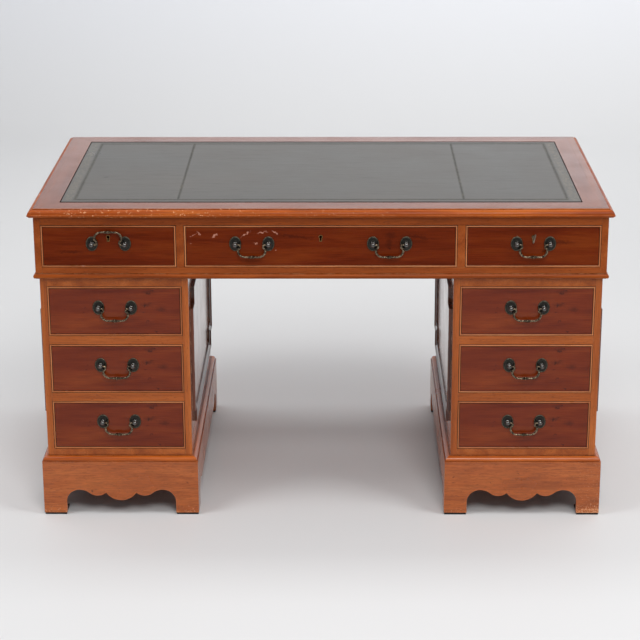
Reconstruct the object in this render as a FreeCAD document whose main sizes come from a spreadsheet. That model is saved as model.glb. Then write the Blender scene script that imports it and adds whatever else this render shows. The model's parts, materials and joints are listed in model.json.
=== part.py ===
"""Partners desk: a writing top with a frieze of drawers on two pedestals, for use from both long sides.

Frame: X to the right, Y to the back, Z up, in millimetres. The origin is on the floor, under the centre.
"""
import FreeCAD, Part
import math
import os
import re

import Sketcher
from FreeCAD import Rotation, Vector

# ---------------------------------------------------------------------------------------------------------
# Driving sizes, in millimetres and degrees
# ---------------------------------------------------------------------------------------------------------
SIZES = {
    # overall
    "desk_width": 1372,
    "desk_depth": 762,
    "desk_height": 775,
    # writing top
    "top_thickness": 20,
    "edge_width": 30,
    "edge_reach": 12.6,
    "edge_step": 2.4,
    "edge_nose_drop": 13,
    "edge_nose_height": 3,
    "edge_ovolo_radius": 13.2,
    "edge_undercut": 5,
    "leather_border": 69,
    "leather_thickness": 1.5,
    "leather_seam": 339,
    # frieze
    "frieze_inset": 13,
    "frieze_height": 138,
    "frieze_top_rail": 20.5,
    "frieze_bottom_rail": 15.5,
    "frieze_end": 16,
    "frieze_division": 19,
    "division_inset": 6.5,
    "frieze_rail_depth": 32,
    "base_moulding_height": 13,
    "base_moulding_proud": 5,
    "base_moulding_seat": 8,
    # pedestals
    "pedestal_setback": 7.5,
    "pedestal_width": 351.5,
    "pedestal_side": 16,
    "pedestal_rail": 22,
    "pedestal_rail_depth": 30,
    "drawer_rows": 3,
    "foot_rail_height": 8,
    "cupboard_depth": 280,
    "partition_thickness": 9,
    "shelf_thickness": 16,
    "shelf_setback": 12,
    "runner_width": 22,
    "block_length": 60,
    "block_width": 18,
    "block_height": 24,
    "block_seat": 14,
    "block_margin": 45,
    "block_clearance": 0.3,
    # bracket plinth
    "plinth_thickness": 14,
    "plinth_height": 139,
    "plinth_moulding_height": 13,
    "plinth_moulding_ledge": 2,
    "carcase_lap": 62,
    "foot_width": 56,
    "foot_straight": 32,
    "arch_height": 65.5,
    "arch_reach": 32,
    "sweep_reach": 55,
    "sweep_height": 57.5,
    "lobe_height": 50,
    "lobe_reach": 57,
    "cusp_reach": 37,
    "cusp_height": 57,
    "drop_height": 37.6,
    "pad_thickness": 5,
    "pad_inset": 1.5,
    "corner_block": 34,
    # raised panel mouldings
    "panel_moulding_width": 16,
    "panel_moulding_proud": 8,
    "panel_moulding_lip": 3,
    "panel_side_margin": 38,
    "panel_top_margin": 48,
    "panel_bottom_margin": 58,
    "panel_notch": 42,
    "door_panel_margin": 40,
    # drawers
    "drawer_gap": 1,
    "drawer_front_thickness": 20,
    "cockbead_width": 4,
    "cockbead_proud": 1.5,
    "cockbead_nose": 1.2,
    "drawer_side_thickness": 10,
    "drawer_side_gap": 1.5,
    "drawer_floor_gap": 0.4,
    "drawer_headroom": 12,
    "drawer_back_thickness": 9,
    "drawer_back_drop": 5,
    "drawer_bottom_thickness": 5,
    "drawer_bottom_rise": 8,
    "drawer_bottom_groove": 5,
    "drawer_back_clearance": 12,
    # handles
    "handle_centres": 78,
    "wide_drawer_handle_offset": 161.5,
    "frieze_handle_rise": 6.5,
    "pedestal_handle_rise": 9.5,
    "rose_width": 28,
    "rose_height": 35,
    "rose_thickness": 2,
    "post_pivot_reach": 11,
    "post_stem_radius": 3.2,
    "post_ball_radius": 6,
    "post_ball_bevel": 2,
    "bail_pin_length": 5,
    "bail_rod_radius": 2,
    "bail_pin_clearance": 0.05,
    "bail_drop": 30,
    "neck_radius": 4.5,
    "neck_start": 8,
    "neck_return": 60,
    "shoulder_radius": 6.5,
    "bead_radius": 4.2,
    "bead_width": 5,
    "bead_offset": 3.4,
    "raised_bail_angle": 188,
    # locks and key
    "keyhole_drop": 28,
    "keyhole_radius": 3.4,
    "keyhole_slot_width": 3.2,
    "keyhole_slot_length": 9.5,
    "escutcheon_width": 13,
    "escutcheon_height": 22,
    "escutcheon_proud": 0.6,
    "lock_width": 46,
    "lock_depth": 10,
    "lock_cover_thickness": 2,
    "lock_below_key": 16,
    "key_chamber_radius": 9.2,
    "key_shank_radius": 2.4,
    "key_shank_reach": 7,
    "key_bow_length": 19,
    "key_bow_height": 20,
    "key_bow_thickness": 2.6,
    "key_bow_rim": 3.4,
    "key_bit_setback": 1,
    "key_bit_reach": 8.4,
    "key_bit_width": 4,
    "key_bit_thickness": 2.2,
    "key_tilt": 14,
    "bolt_width": 12,
    "bolt_thickness": 4,
    "bolt_length": 13,
    "bolt_sink": 0.5,
    "bolt_setback": 3,
    "bolt_clearance": 0.3,
    "bolt_throw": 6,
    # cupboard doors
    "door_gap": 1,
    "door_thickness": 20,
    "hinge_height": 60,
    "hinge_leaf": 1.2,
    "hinge_leaf_depth": 15,
    "hinge_leaf_gap": 0.2,
    "hinge_barrel_radius": 4,
    "hinge_pin_radius": 1.5,
    "hinge_clearance": 0.2,
    "hinge_pin_clearance": 0.05,
    "hinge_end_margin": 55,
    "knob_radius": 9,
    "knob_reach": 16,
    "knob_flange_radius": 6.5,
    "knob_flange_thickness": 2,
    "knob_neck_radius": 4,
    "knob_head_thickness": 7,
    "knob_edge_margin": 26,
}

doc = FreeCAD.newDocument("partners_desk")
sizes = doc.addObject("Spreadsheet::Sheet", "sizes")
for row, (alias, number) in enumerate(SIZES.items(), start=1):
    sizes.set(f"A{row}", alias)
    sizes.set(f"B{row}", str(number))
    sizes.setAlias(f"B{row}", alias)
doc.recompute()

SIZE_NAMES = re.compile(r"\b(" + "|".join(SIZES) + r")\b")
UP = Vector(0, 0, 1)
FORWARD = Vector(0, 1, 0)
ACROSS = Vector(1, 0, 0)
ROUND_FACETS = 12
FLAT_TO_CORNER = 1 / math.cos(math.pi / ROUND_FACETS)


# ---------------------------------------------------------------------------------------------------------
# Ways of making a piece; every length is an expression in the sheet's names
# ---------------------------------------------------------------------------------------------------------
def bind(target, prop, expression):
    """Tie one property to an expression in the sheet's names."""
    target.setExpression(prop, SIZE_NAMES.sub(r"sizes.\1", expression))


def value(expression):
    """The number that an expression has now."""
    return float(sizes.evalExpression(expression))


def place(piece, x="0", y="0", z="0", axis=UP, angle=0):
    """Turn a piece about its own origin and move it to a bound place."""
    piece.Placement.Rotation = Rotation(axis, angle)
    bind(piece, "Placement.Base.x", x)
    bind(piece, "Placement.Base.y", y)
    bind(piece, "Placement.Base.z", z)
    return piece


def group(label, pieces, **at):
    """Separate solids that belong together, placed as one."""
    compound = doc.addObject("Part::Compound", label)
    compound.Label = label
    compound.Links = pieces
    return place(compound, **at)


def board(name, x, y, z):
    """A square-edged board between three pairs of limits."""
    box = doc.addObject("Part::Box", name)
    for axis, length, (low, high) in (("x", "Length", x), ("y", "Width", y), ("z", "Height", z)):
        bind(box, f"Placement.Base.{axis}", low)
        bind(box, length, f"({high}) - ({low})")
    return box


def rod(name, radius, length, x="0", y="0", z="0", axis=UP, angle=0):
    """A small round rod that stands on its place, within its radius; twelve flats keep its faces few."""
    prism = doc.addObject("Part::Prism", name)
    prism.Polygon = ROUND_FACETS
    bind(prism, "Circumradius", radius)
    bind(prism, "Height", length)
    return place(prism, x, y, z, axis, angle)


def bore(name, radius, length, x="0", y="0", z="0", axis=UP, angle=0):
    """The space that a round rod of this radius turns in: its flats touch the radius from outside."""
    return rod(name, f"({radius}) * {FLAT_TO_CORNER:.6f}", length, x, y, z, axis, angle)


def cut(name, base, tool):
    """The base with the tool's space taken out of it."""
    result = doc.addObject("Part::Cut", name)
    result.Base = base
    result.Tool = tool
    return result


def fused(name, pieces):
    """One solid out of pieces that are made in one."""
    result = doc.addObject("Part::MultiFuse", name)
    result.Shapes = pieces
    return result


def both(low, high):
    """The same pair of limits on the left and on the right."""
    return (("left", (f"-({high})", f"-({low})")), ("right", (low, high)))


def ends(low, high):
    """The same pair of limits towards the front and towards the rear."""
    return (("front", (f"-({high})", f"-({low})")), ("rear", (low, high)))


def across(half):
    """Limits the same way out on both sides."""
    return (f"-({half})", f"{half}")


def sketch_on(body, name, role, lift="0"):
    """An empty sketch on one of the body's own origin planes, lifted along its normal."""
    sketch = body.newObject("Sketcher::SketchObject", name)
    plane = next(feature for feature in body.Origin.OriginFeatures if feature.Role == role)
    sketch.AttachmentSupport = [(plane, "")]
    sketch.MapMode = "FlatFace"
    bind(sketch, "AttachmentOffset.Base.z", lift)
    return sketch


def arc_between(start, end, radius, bends_left):
    """An arc of under half a turn from start to end; its own start is the end when it bends right."""
    chord = end - start
    left = Vector(-chord.y, chord.x, 0).normalize()
    rise = math.sqrt(max(radius**2 - (chord.Length / 2) ** 2, 0))
    centre = (start + end) * 0.5 + left * (rise if bends_left else -rise)
    first, second = (start, end) if bends_left else (end, start)
    begin = math.atan2(first.y - centre.y, first.x - centre.x)
    finish = math.atan2(second.y - centre.y, second.x - centre.x)
    if finish < begin:
        finish += 2 * math.pi
    return Part.ArcOfCircle(Part.Circle(centre, UP, radius), begin, finish)


def draw(sketch, corners, arcs=None, closed=True):
    """Draw a line through corners, each a pair of expressions.

    arcs gives, for the number of a corner that an arc leaves, its radius and whether it bends left.
    """
    arcs = arcs or {}
    points = [Vector(value(x), value(y), 0) for x, y in corners]
    edges = len(points) if closed else len(points) - 1
    ends = []
    for number in range(edges):
        start, end = points[number], points[(number + 1) % len(points)]
        if number in arcs:
            radius, bends_left = arcs[number]
            edge = sketch.addGeometry(arc_between(start, end, value(radius), bends_left), False)
            ends.append((edge, 1, 2) if bends_left else (edge, 2, 1))
            fixed = sketch.addConstraint(Sketcher.Constraint("Radius", edge, value(radius)))
            bind(sketch, f"Constraints[{fixed}]", radius)
        else:
            edge = sketch.addGeometry(Part.LineSegment(start, end), False)
            ends.append((edge, 1, 2))
    for number in range(edges if closed else edges - 1):
        edge, _, finish = ends[number]
        following, begin, _ = ends[(number + 1) % edges]
        sketch.addConstraint(Sketcher.Constraint("Coincident", edge, finish, following, begin))
    fixed_ends = [(edge, begin) for edge, begin, _ in ends]
    if not closed:
        fixed_ends.append((ends[-1][0], ends[-1][2]))
    for (edge, end), (x, y), point in zip(fixed_ends, corners, points):
        for kind, expression, number in (("DistanceX", x, point.x), ("DistanceY", y, point.y)):
            fixed = sketch.addConstraint(Sketcher.Constraint(kind, -1, 1, edge, end, number))
            bind(sketch, f"Constraints[{fixed}]", expression)
    return sketch


def pad(body, name, sketch, length, symmetric=False, back=False):
    """Raise a sketch along its normal, to both sides of it, or to the back of it."""
    feature = body.newObject("PartDesign::Pad", name)
    feature.Profile = sketch
    feature.SideType = "Symmetric" if symmetric else "One side"
    feature.Reversed = back
    bind(feature, "Length", length)
    return feature


def pocket_through(body, name, sketch):
    """Cut a sketch through the whole body, both ways from its plane."""
    feature = body.newObject("PartDesign::Pocket", name)
    feature.Profile = sketch
    feature.SideType = "Symmetric"
    feature.Type = "ThroughAll"
    return feature


def faces_at(feature, y):
    """The names of a feature's faces that lie at one depth."""
    return [f"Face{number + 1}" for number, face in enumerate(feature.Shape.Faces)
            if abs(face.BoundBox.YMin - y) < 0.001 and abs(face.BoundBox.YMax - y) < 0.001]


def polygon(sketch, width, height, sides):
    """A regular polygon stretched to a width and a height, flat at the top and bottom."""
    corners = []
    for number in range(sides):
        angle = 2 * math.pi * (number + 0.5) / sides
        corners.append((f"{math.sin(angle):.6f} * ({width}) / 2", f"{math.cos(angle):.6f} * ({height}) / 2"))
    return draw(sketch, corners)


def mitred_length(name, profile, arcs, outer, seat, half_length, scallops=None):
    """One length of a moulding along X, its outer line at Y = -outer, mitred inwards over its seat.

    scallops is an outline and its arcs, cut through the face of the length.
    """
    body = doc.addObject("PartDesign::Body", name)
    section = draw(sketch_on(body, f"{name}_section", "YZ_Plane"), profile, arcs)
    pad(body, f"{name}_run", section, f"2 * ({half_length})", symmetric=True)
    mitres = sketch_on(body, f"{name}_mitres", "XY_Plane")
    for side in ("-", ""):
        corner = (f"{side}({half_length})", f"-({outer})")
        beyond = (f"{side}({half_length} + {seat})", f"-({outer})")
        behind = (f"{side}({half_length} + {seat})", f"-({outer} - {seat})")
        inner = (f"{side}({half_length} - {seat})", f"-({outer} - {seat})")
        draw(mitres, [corner, beyond, behind, inner])
    doc.recompute()
    pocket_through(body, f"{name}_mitre_cuts", mitres)
    if scallops:
        outline, outline_arcs = scallops
        doc.recompute()
        edge = draw(sketch_on(body, f"{name}_scallops", "XZ_Plane"), outline, outline_arcs)
        pocket_through(body, f"{name}_scallop_cut", edge)
    return body


def four_sides(label, front, side, **at):
    """A frame of two long and two short mitred lengths."""
    lengths = [group(f"{label}_{name}", [length], angle=angle)
               for name, length, angle in (("front", front, 0), ("rear", front, 180),
                                           ("left", side, -90), ("right", side, 90))]
    return group(label, lengths, **at)


# ---------------------------------------------------------------------------------------------------------
# Levels and faces that more than one piece keeps to
# ---------------------------------------------------------------------------------------------------------
half_width = "desk_width / 2"
half_depth = "desk_depth / 2"
top_underside = "(desk_height - top_thickness)"
frieze_half_width = "(desk_width / 2 - frieze_inset)"
frieze_half_depth = "(desk_depth / 2 - frieze_inset)"
frieze_bottom = "(desk_height - top_thickness - frieze_height)"
frieze_opening_bottom = f"({frieze_bottom} + frieze_bottom_rail)"
frieze_opening_top = f"({top_underside} - frieze_top_rail)"
frieze_opening_height = "(frieze_height - frieze_top_rail - frieze_bottom_rail)"

pedestal_top = f"({frieze_bottom} - base_moulding_height)"
pedestal_half_width = "(pedestal_width / 2)"
pedestal_half_depth = f"({frieze_half_depth} - pedestal_setback)"
pedestal_centre = f"({frieze_half_width} - pedestal_setback - pedestal_width / 2)"
pedestal_opening_half = f"({pedestal_half_width} - pedestal_side)"
pedestal_opening_top = f"({pedestal_top} - pedestal_rail)"
pedestal_floor = "(plinth_height + foot_rail_height + pedestal_rail)"
row_pitch = f"(({pedestal_top} - {pedestal_floor}) / drawer_rows)"
row_height = f"({row_pitch} - pedestal_rail)"
partition_front = f"({pedestal_half_depth} - cupboard_depth - partition_thickness)"

division_inner = f"({pedestal_centre} - pedestal_width / 2 + division_inset)"
division_outer = f"({division_inner} + frieze_division)"
frieze_end_inner = f"({frieze_half_width} - frieze_end)"
side_opening_centre = f"(({frieze_end_inner} + {division_outer}) / 2)"
side_opening_width = f"({frieze_end_inner} - {division_outer})"
wide_opening_width = f"(2 * {division_inner})"

frieze_drawer_depth = f"({frieze_half_depth} - partition_thickness / 2 - drawer_back_clearance)"
pedestal_drawer_depth = f"({pedestal_half_depth} + {partition_front} - drawer_back_clearance)"

PEDESTALS = (("left", "-"), ("right", ""))


def row_bottom(row):
    """The floor of one row of pedestal drawers, counted from the top."""
    return f"({pedestal_top} - ({row} + 1) * {row_pitch})"


# ---------------------------------------------------------------------------------------------------------
# Writing top: a recessed board, a moulded edge in four mitred lengths, and three skins of leather
# ---------------------------------------------------------------------------------------------------------
def make_top_board():
    body = doc.addObject("PartDesign::Body", "top_board")
    panel_x = f"({half_width} - edge_width)"
    panel_y = f"({half_depth} - edge_width)"
    outline = sketch_on(body, "top_outline", "XY_Plane", top_underside)
    draw(outline, [(f"-{panel_x}", f"-{panel_y}"), (panel_x, f"-{panel_y}"),
                   (panel_x, panel_y), (f"-{panel_x}", panel_y)])
    pad(body, "top_pad", outline, "top_thickness")
    skin_x = f"({half_width} - leather_border)"
    skin_y = f"({half_depth} - leather_border)"
    recess = sketch_on(body, "leather_recess", "XY_Plane", "desk_height")
    draw(recess, [(f"-{skin_x}", f"-{skin_y}"), (skin_x, f"-{skin_y}"),
                  (skin_x, skin_y), (f"-{skin_x}", skin_y)])
    doc.recompute()
    pocket = body.newObject("PartDesign::Pocket", "leather_pocket")
    pocket.Profile = recess
    bind(pocket, "Length", "leather_thickness")
    return body


def make_top_edge():
    """A step at the top, then a long ovolo down to a thin nose with a bevel under it."""
    def length(name, outer, half_length):
        section = [
            (f"-({outer} - edge_width)", top_underside),
            (f"-({outer} - edge_width)", "desk_height"),
            (f"-({outer} - edge_reach)", "desk_height"),
            (f"-({outer} - edge_reach)", "desk_height - edge_step"),
            (f"-({outer})", "desk_height - edge_nose_drop"),
            (f"-({outer})", "desk_height - edge_nose_drop - edge_nose_height"),
            (f"-({outer} - edge_undercut)", top_underside),
        ]
        ovolo = {3: ("edge_ovolo_radius", True)}
        return mitred_length(name, section, ovolo, outer, "edge_width", half_length)

    front = length("edge_long", half_depth, half_width)
    side = length("edge_short", half_width, half_depth)
    return four_sides("top_edge_moulding", front, side)


def make_leather():
    skin_x = f"({half_width} - leather_border)"
    skin_y = across(f"({half_depth} - leather_border)")
    skin_z = ("desk_height - leather_thickness", "desk_height")
    skins = [board(f"{name}_skin", limits, skin_y, skin_z) for name, limits in both("leather_seam", skin_x)]
    skins.append(board("centre_skin", across("leather_seam"), skin_y, skin_z))
    return group("writing_leather", skins)


# ---------------------------------------------------------------------------------------------------------
# Frieze: a carcase with three drawer openings to the front and three to the rear, over a dustboard
# ---------------------------------------------------------------------------------------------------------
def make_frieze_carcase():
    inside = across(frieze_end_inner)
    full_height = (frieze_bottom, top_underside)
    opening = (frieze_opening_bottom, frieze_opening_top)
    pieces = []
    for side, limits in both(frieze_end_inner, frieze_half_width):
        pieces.append(board(f"{side}_frieze_end", limits, across(frieze_half_depth), full_height))
    for end, limits in ends(f"{frieze_half_depth} - frieze_rail_depth", frieze_half_depth):
        pieces.append(board(f"{end}_bottom_rail", inside, limits, (frieze_bottom, frieze_opening_bottom)))
        top_rail = board(f"{end}_top_rail_blank", inside, limits, (frieze_opening_top, top_underside))
        pieces.append(top_rail if end == "rear" else cut("front_top_rail", top_rail, bolt_mortises()))
    for end, depth in ends("partition_thickness / 2", frieze_half_depth):
        for side, limits in both(division_inner, division_outer):
            pieces.append(board(f"{end}_{side}_division", limits, depth, opening))
    pieces.append(board("frieze_partition", inside, across("partition_thickness / 2"), full_height))
    seat_x = f"({frieze_half_width} - base_moulding_seat)"
    seat_y = f"({frieze_half_depth} - base_moulding_seat)"
    dustboard = board("dustboard_blank", across(seat_x), across(seat_y), (pedestal_top, frieze_bottom))
    pieces.append(cut("dustboard", dustboard, block_sockets("dustboard")))
    return group("frieze_carcase", pieces)


def bolt_mortises():
    """The three sockets in the front top rail that the drawer locks shoot into."""
    bolt_front = f"-{frieze_half_depth} + drawer_front_thickness + bolt_setback - bolt_clearance"
    bolt_back = f"-{frieze_half_depth} + drawer_front_thickness + bolt_setback + bolt_thickness + bolt_clearance"
    sockets = []
    for name, centre in (("left", f"-{side_opening_centre}"), ("centre", "0"), ("right", side_opening_centre)):
        x = (f"{centre} - bolt_width / 2 - bolt_clearance", f"{centre} + bolt_width / 2 + bolt_clearance")
        z = (f"{frieze_opening_top} - drawer_gap", f"{frieze_opening_top} + bolt_throw")
        sockets.append(board(f"{name}_mortise", x, (bolt_front, bolt_back), z))
    return group("bolt_mortises", sockets)


def make_base_moulding():
    """A half-round bead that runs round the foot of the frieze."""
    outer_y = f"({frieze_half_depth} + base_moulding_proud)"
    outer_x = f"({frieze_half_width} + base_moulding_proud)"
    seat = "(base_moulding_proud + base_moulding_seat)"

    def length(name, outer, half_length):
        section = [
            (f"-({outer} - {seat})", pedestal_top),
            (f"-({outer} - {seat})", frieze_bottom),
            (f"-({outer} - base_moulding_proud)", frieze_bottom),
            (f"-({outer} - base_moulding_proud)", pedestal_top),
        ]
        bead = {2: ("(base_moulding_proud ^ 2 + (base_moulding_height / 2) ^ 2) / (2 * base_moulding_proud)",
                    True)}
        return mitred_length(name, section, bead, outer, seat, half_length)

    return four_sides("frieze_base_moulding", length("base_long", outer_y, outer_x),
                      length("base_short", outer_x, outer_y))


def block_limits(clearance):
    """Two blocks on each pedestal, in the desk's frame, with a clearance all round."""
    for side, sign in PEDESTALS:
        x = (f"{sign}{pedestal_centre} - block_length / 2 - {clearance}",
             f"{sign}{pedestal_centre} + block_length / 2 + {clearance}")
        for _, (low, high) in ends(f"{pedestal_half_depth} - block_margin - block_width",
                                   f"{pedestal_half_depth} - block_margin"):
            yield side, x, (f"{low} - {clearance}", f"{high} + {clearance}")


def block_sockets(name):
    """Clearance for all the blocks, to be cut out of a board."""
    z = (f"{pedestal_top} - block_seat", f"{pedestal_top} - block_seat + block_height + block_clearance")
    return group(f"{name}_sockets", [board(f"{name}_socket", x, y, z)
                                     for _, x, y in block_limits("block_clearance")])


def make_locating_blocks():
    """Hardwood blocks let into the pedestal tops, which the dustboard drops over."""
    z = (f"{pedestal_top} - block_seat", f"{pedestal_top} - block_seat + block_height")
    return group("locating_blocks", [board(f"{side}_block", x, y, z) for side, x, y in block_limits("0")])


# ---------------------------------------------------------------------------------------------------------
# Pedestals: drawers to the front, a cupboard to the rear; each is built about its own centre line
# ---------------------------------------------------------------------------------------------------------
def make_pedestal_boards():
    """The boards that are alike in both pedestals."""
    inside = across(pedestal_opening_half)
    depth = across(pedestal_half_depth)
    pieces = []
    for side, limits in both(pedestal_opening_half, pedestal_half_width):
        pieces.append(board(f"{side}_side", limits, depth, ("plinth_height - carcase_lap", pedestal_top)))
    pieces.append(board("pedestal_bottom", inside, depth, (f"{pedestal_floor} - pedestal_rail", pedestal_floor)))
    below = ("plinth_height", f"{pedestal_floor} - pedestal_rail")
    for end, limits in ends(f"{pedestal_half_depth} - pedestal_rail_depth", pedestal_half_depth):
        pieces.append(board(f"{end}_foot_rail", inside, limits, below))
    for row in range(int(value("drawer_rows")) - 1):
        rail = (row_bottom(row) + " - pedestal_rail", row_bottom(row))
        front = (f"-{pedestal_half_depth}", f"-{pedestal_half_depth} + pedestal_rail_depth")
        pieces.append(board("drawer_rail", inside, front, rail))
    behind_drawers = (partition_front, f"{partition_front} + partition_thickness")
    pieces.append(board("partition", inside, behind_drawers, (pedestal_floor, pedestal_opening_top)))
    shelf_depth = (f"{partition_front} + partition_thickness",
                   f"{pedestal_half_depth} - door_thickness - shelf_setback")
    middle = f"({pedestal_floor} + {pedestal_opening_top}) / 2"
    shelf = (f"{middle} - shelf_thickness / 2", f"{middle} + shelf_thickness / 2")
    pieces.append(board("cupboard_shelf", inside, shelf_depth, shelf))
    return pieces


def make_pedestal_carcase(side, sign, boards):
    top = board(f"{side}_pedestal_top_blank", across(pedestal_opening_half), across(pedestal_half_depth),
                (pedestal_opening_top, pedestal_top))
    moved_top = group(f"{side}_top_in_place", [top], x=f"{sign}{pedestal_centre}")
    mortised = cut(f"{side}_pedestal_top", moved_top, block_sockets(f"{side}_pedestal"))
    shared = group(f"{side}_pedestal_boards", boards, x=f"{sign}{pedestal_centre}")
    return group(f"{side}_pedestal_carcase", [shared, mortised])


def plinth_scallops(half_length, lobed):
    """The cut under a plinth board: bracket feet, arches and, on the short boards, a row of lobes."""
    foot = f"({half_length} - foot_width)"
    arch = f"({foot} - arch_reach)"
    sweep = f"({foot} - sweep_reach)"
    below = "-pad_thickness"
    half = [
        (foot, below),
        (foot, "foot_straight"),
        (arch, "arch_height"),
        (sweep, "sweep_height"),
    ]
    arch_radius = "(arch_reach ^ 2 + (arch_height - foot_straight) ^ 2) / (2 * (arch_height - foot_straight))"
    sweep_radius = ("((sweep_reach - arch_reach) ^ 2 + (arch_height - sweep_height) ^ 2)"
                    " / (2 * (arch_height - sweep_height))")
    if lobed:
        half.append(("cusp_reach", "cusp_height"))
        lobe_radius = ("((lobe_reach - cusp_reach) ^ 2 + (cusp_height - lobe_height) ^ 2)"
                       " / (2 * (cusp_height - lobe_height))")
    else:
        half.append((f"({sweep} - (lobe_reach - cusp_reach))", "lobe_height"))
        lobe_radius = ("((lobe_reach - cusp_reach) ^ 2 + (sweep_height - lobe_height) ^ 2)"
                       " / (2 * (sweep_height - lobe_height))")
    other = [(f"-{x}", z) for x, z in reversed(half)]
    radii = {1: (arch_radius, True), 2: (sweep_radius, True), 3: (lobe_radius, False)}
    last = len(half) + len(other) - 2
    mirrored = {last - number: arc for number, arc in radii.items()}
    drop_radius = "(cusp_reach ^ 2 + (cusp_height - drop_height) ^ 2) / (2 * (cusp_height - drop_height))"
    centre = {len(half) - 1: (drop_radius, False)} if lobed else {}
    return half + other, {**radii, **mirrored, **centre}


def make_plinth_lengths():
    """A short board for front and rear and a long one for the sides, shared by both pedestals."""
    outer_y = f"({pedestal_half_depth} + plinth_thickness)"
    outer_x = f"({pedestal_half_width} + plinth_thickness)"

    def length(name, outer, half_length, lobed):
        section = [
            (f"-({outer} - plinth_thickness)", "pad_thickness"),
            (f"-({outer} - plinth_thickness)", "plinth_height + plinth_moulding_height"),
            (f"-({outer} - plinth_thickness + plinth_moulding_ledge)",
             "plinth_height + plinth_moulding_height"),
            (f"-({outer})", "plinth_height"),
            (f"-({outer})", "pad_thickness"),
        ]
        ovolo = {2: ("plinth_moulding_height", True)}
        return mitred_length(name, section, ovolo, outer, "plinth_thickness", half_length,
                             plinth_scallops(half_length, lobed))

    return length("plinth_short", outer_y, outer_x, True), length("plinth_long", outer_x, outer_y, False)


def foot_corners(inset, size):
    """The four feet of one plinth: square places set in from its outer corners."""
    outer_x = f"({pedestal_half_width} + plinth_thickness - {inset})"
    outer_y = f"({pedestal_half_depth} + plinth_thickness - {inset})"
    for _, x in both(f"{outer_x} - {size}", outer_x):
        for _, y in ends(f"{outer_y} - {size}", outer_y):
            yield x, y


def make_plinth(side, sign, lengths):
    """The mitred boards with a glue block in each corner, which carries the carcase."""
    boards = four_sides(f"{side}_plinth_boards", *lengths)
    blocks = [board("corner_block", x, y, ("pad_thickness", "plinth_height - carcase_lap"))
              for x, y in foot_corners("plinth_thickness", "corner_block")]
    return group(f"{side}_plinth", [boards, *blocks], x=f"{sign}{pedestal_centre}")


def make_foot_pads():
    pads = [board("foot_pad", x, y, ("0", "pad_thickness"))
            for x, y in foot_corners("pad_inset", "(foot_width - 2 * pad_inset)")]
    return group("foot_pads", [group(f"{side}_foot_pads", pads, x=f"{sign}{pedestal_centre}")
                               for side, sign in PEDESTALS])


def make_runners():
    """Strips that carry the drawer sides, let in behind the front rails."""
    strips = []
    level = (frieze_bottom, frieze_opening_bottom)
    for _, depth in ends("partition_thickness / 2", f"{frieze_half_depth} - frieze_rail_depth"):
        for _, limits in both(f"{frieze_end_inner} - runner_width", frieze_end_inner):
            strips.append(board("end_runner", limits, depth, level))
        for _, limits in both(f"{division_inner} - runner_width", f"{division_outer} + runner_width"):
            strips.append(board("division_runner", limits, depth, level))
    depth = (f"-{pedestal_half_depth} + pedestal_rail_depth", partition_front)
    pedestal_strips = []
    for row in range(int(value("drawer_rows")) - 1):
        level = (row_bottom(row) + " - pedestal_rail", row_bottom(row))
        for _, limits in both(f"{pedestal_opening_half} - runner_width", pedestal_opening_half):
            pedestal_strips.append(board("pedestal_runner", limits, depth, level))
    for side, sign in PEDESTALS:
        strips.append(group(f"{side}_runners", pedestal_strips, x=f"{sign}{pedestal_centre}"))
    return group("drawer_runners", strips)


# ---------------------------------------------------------------------------------------------------------
# Raised panel mouldings with re-entrant corners, on the pedestal sides and on the doors
# ---------------------------------------------------------------------------------------------------------
def notched_frame(name, half_length, half_height):
    """A frame swept round a rectangle with notched corners, on the plane X = 0 and growing along +X."""
    body = doc.addObject("PartDesign::Body", name)
    far_y, near_y = f"({half_length})", f"({half_length} - panel_notch)"
    far_z, near_z = f"({half_height})", f"({half_height} - panel_notch)"
    quarter = [(near_y, far_z), (near_y, near_z), (far_y, near_z)]
    corners = [("0", far_z)]
    corners += quarter
    corners += [(y, f"-{z}") for y, z in reversed(quarter)]
    corners += [(f"-{y}", f"-{z}") for y, z in quarter]
    corners += [(f"-{y}", z) for y, z in reversed(quarter)]
    path = draw(sketch_on(body, f"{name}_path", "YZ_Plane"), corners)
    section = draw(
        sketch_on(body, f"{name}_section", "XZ_Plane"),
        [
            ("0", f"{far_z} - panel_moulding_width"),
            ("panel_moulding_lip", f"{far_z} - panel_moulding_width"),
            ("panel_moulding_proud", f"{far_z} - panel_moulding_lip"),
            ("panel_moulding_proud", far_z),
            ("0", far_z),
        ],
        {1: ("panel_moulding_width", False)},
    )
    doc.recompute()
    sweep = body.newObject("PartDesign::AdditivePipe", f"{name}_sweep")
    sweep.Profile = section
    sweep.Spine = (path, [f"Edge{number + 1}" for number in range(len(corners))])
    sweep.Transition = "Right corner"
    return body


def make_panel_mouldings():
    bottom = "(plinth_height + plinth_moulding_height + panel_bottom_margin)"
    top = f"({pedestal_top} - panel_top_margin)"
    frame = notched_frame("side_frame", f"{pedestal_half_depth} - panel_side_margin", f"({top} - {bottom}) / 2")
    middle = f"({top} + {bottom}) / 2"
    frames = []
    for side, sign in PEDESTALS:
        for face, outwards, angle in (("left", "-", 180), ("right", "+", 0)):
            frames.append(group(f"{side}_pedestal_{face}_frame", [frame], angle=angle,
                                x=f"{sign}{pedestal_centre} {outwards} {pedestal_half_width}", z=middle))
    return group("panel_mouldings", frames)


# ---------------------------------------------------------------------------------------------------------
# Drawers: each is built with its face on Y = 0, its back towards +Y and the opening's floor at Z = 0
# ---------------------------------------------------------------------------------------------------------
def keyhole_shape(name, height, front, back):
    """A round hole with a slot below it, through a thickness."""
    length = f"({back}) - ({front})"
    hole = bore(f"{name}_round", "keyhole_radius", length, "0", front, height, ACROSS, -90)
    slot = board(f"{name}_slot", across("keyhole_slot_width / 2"), (front, back),
                 (f"{height} - keyhole_slot_length", height))
    return fused(name, [hole, slot])


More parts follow.
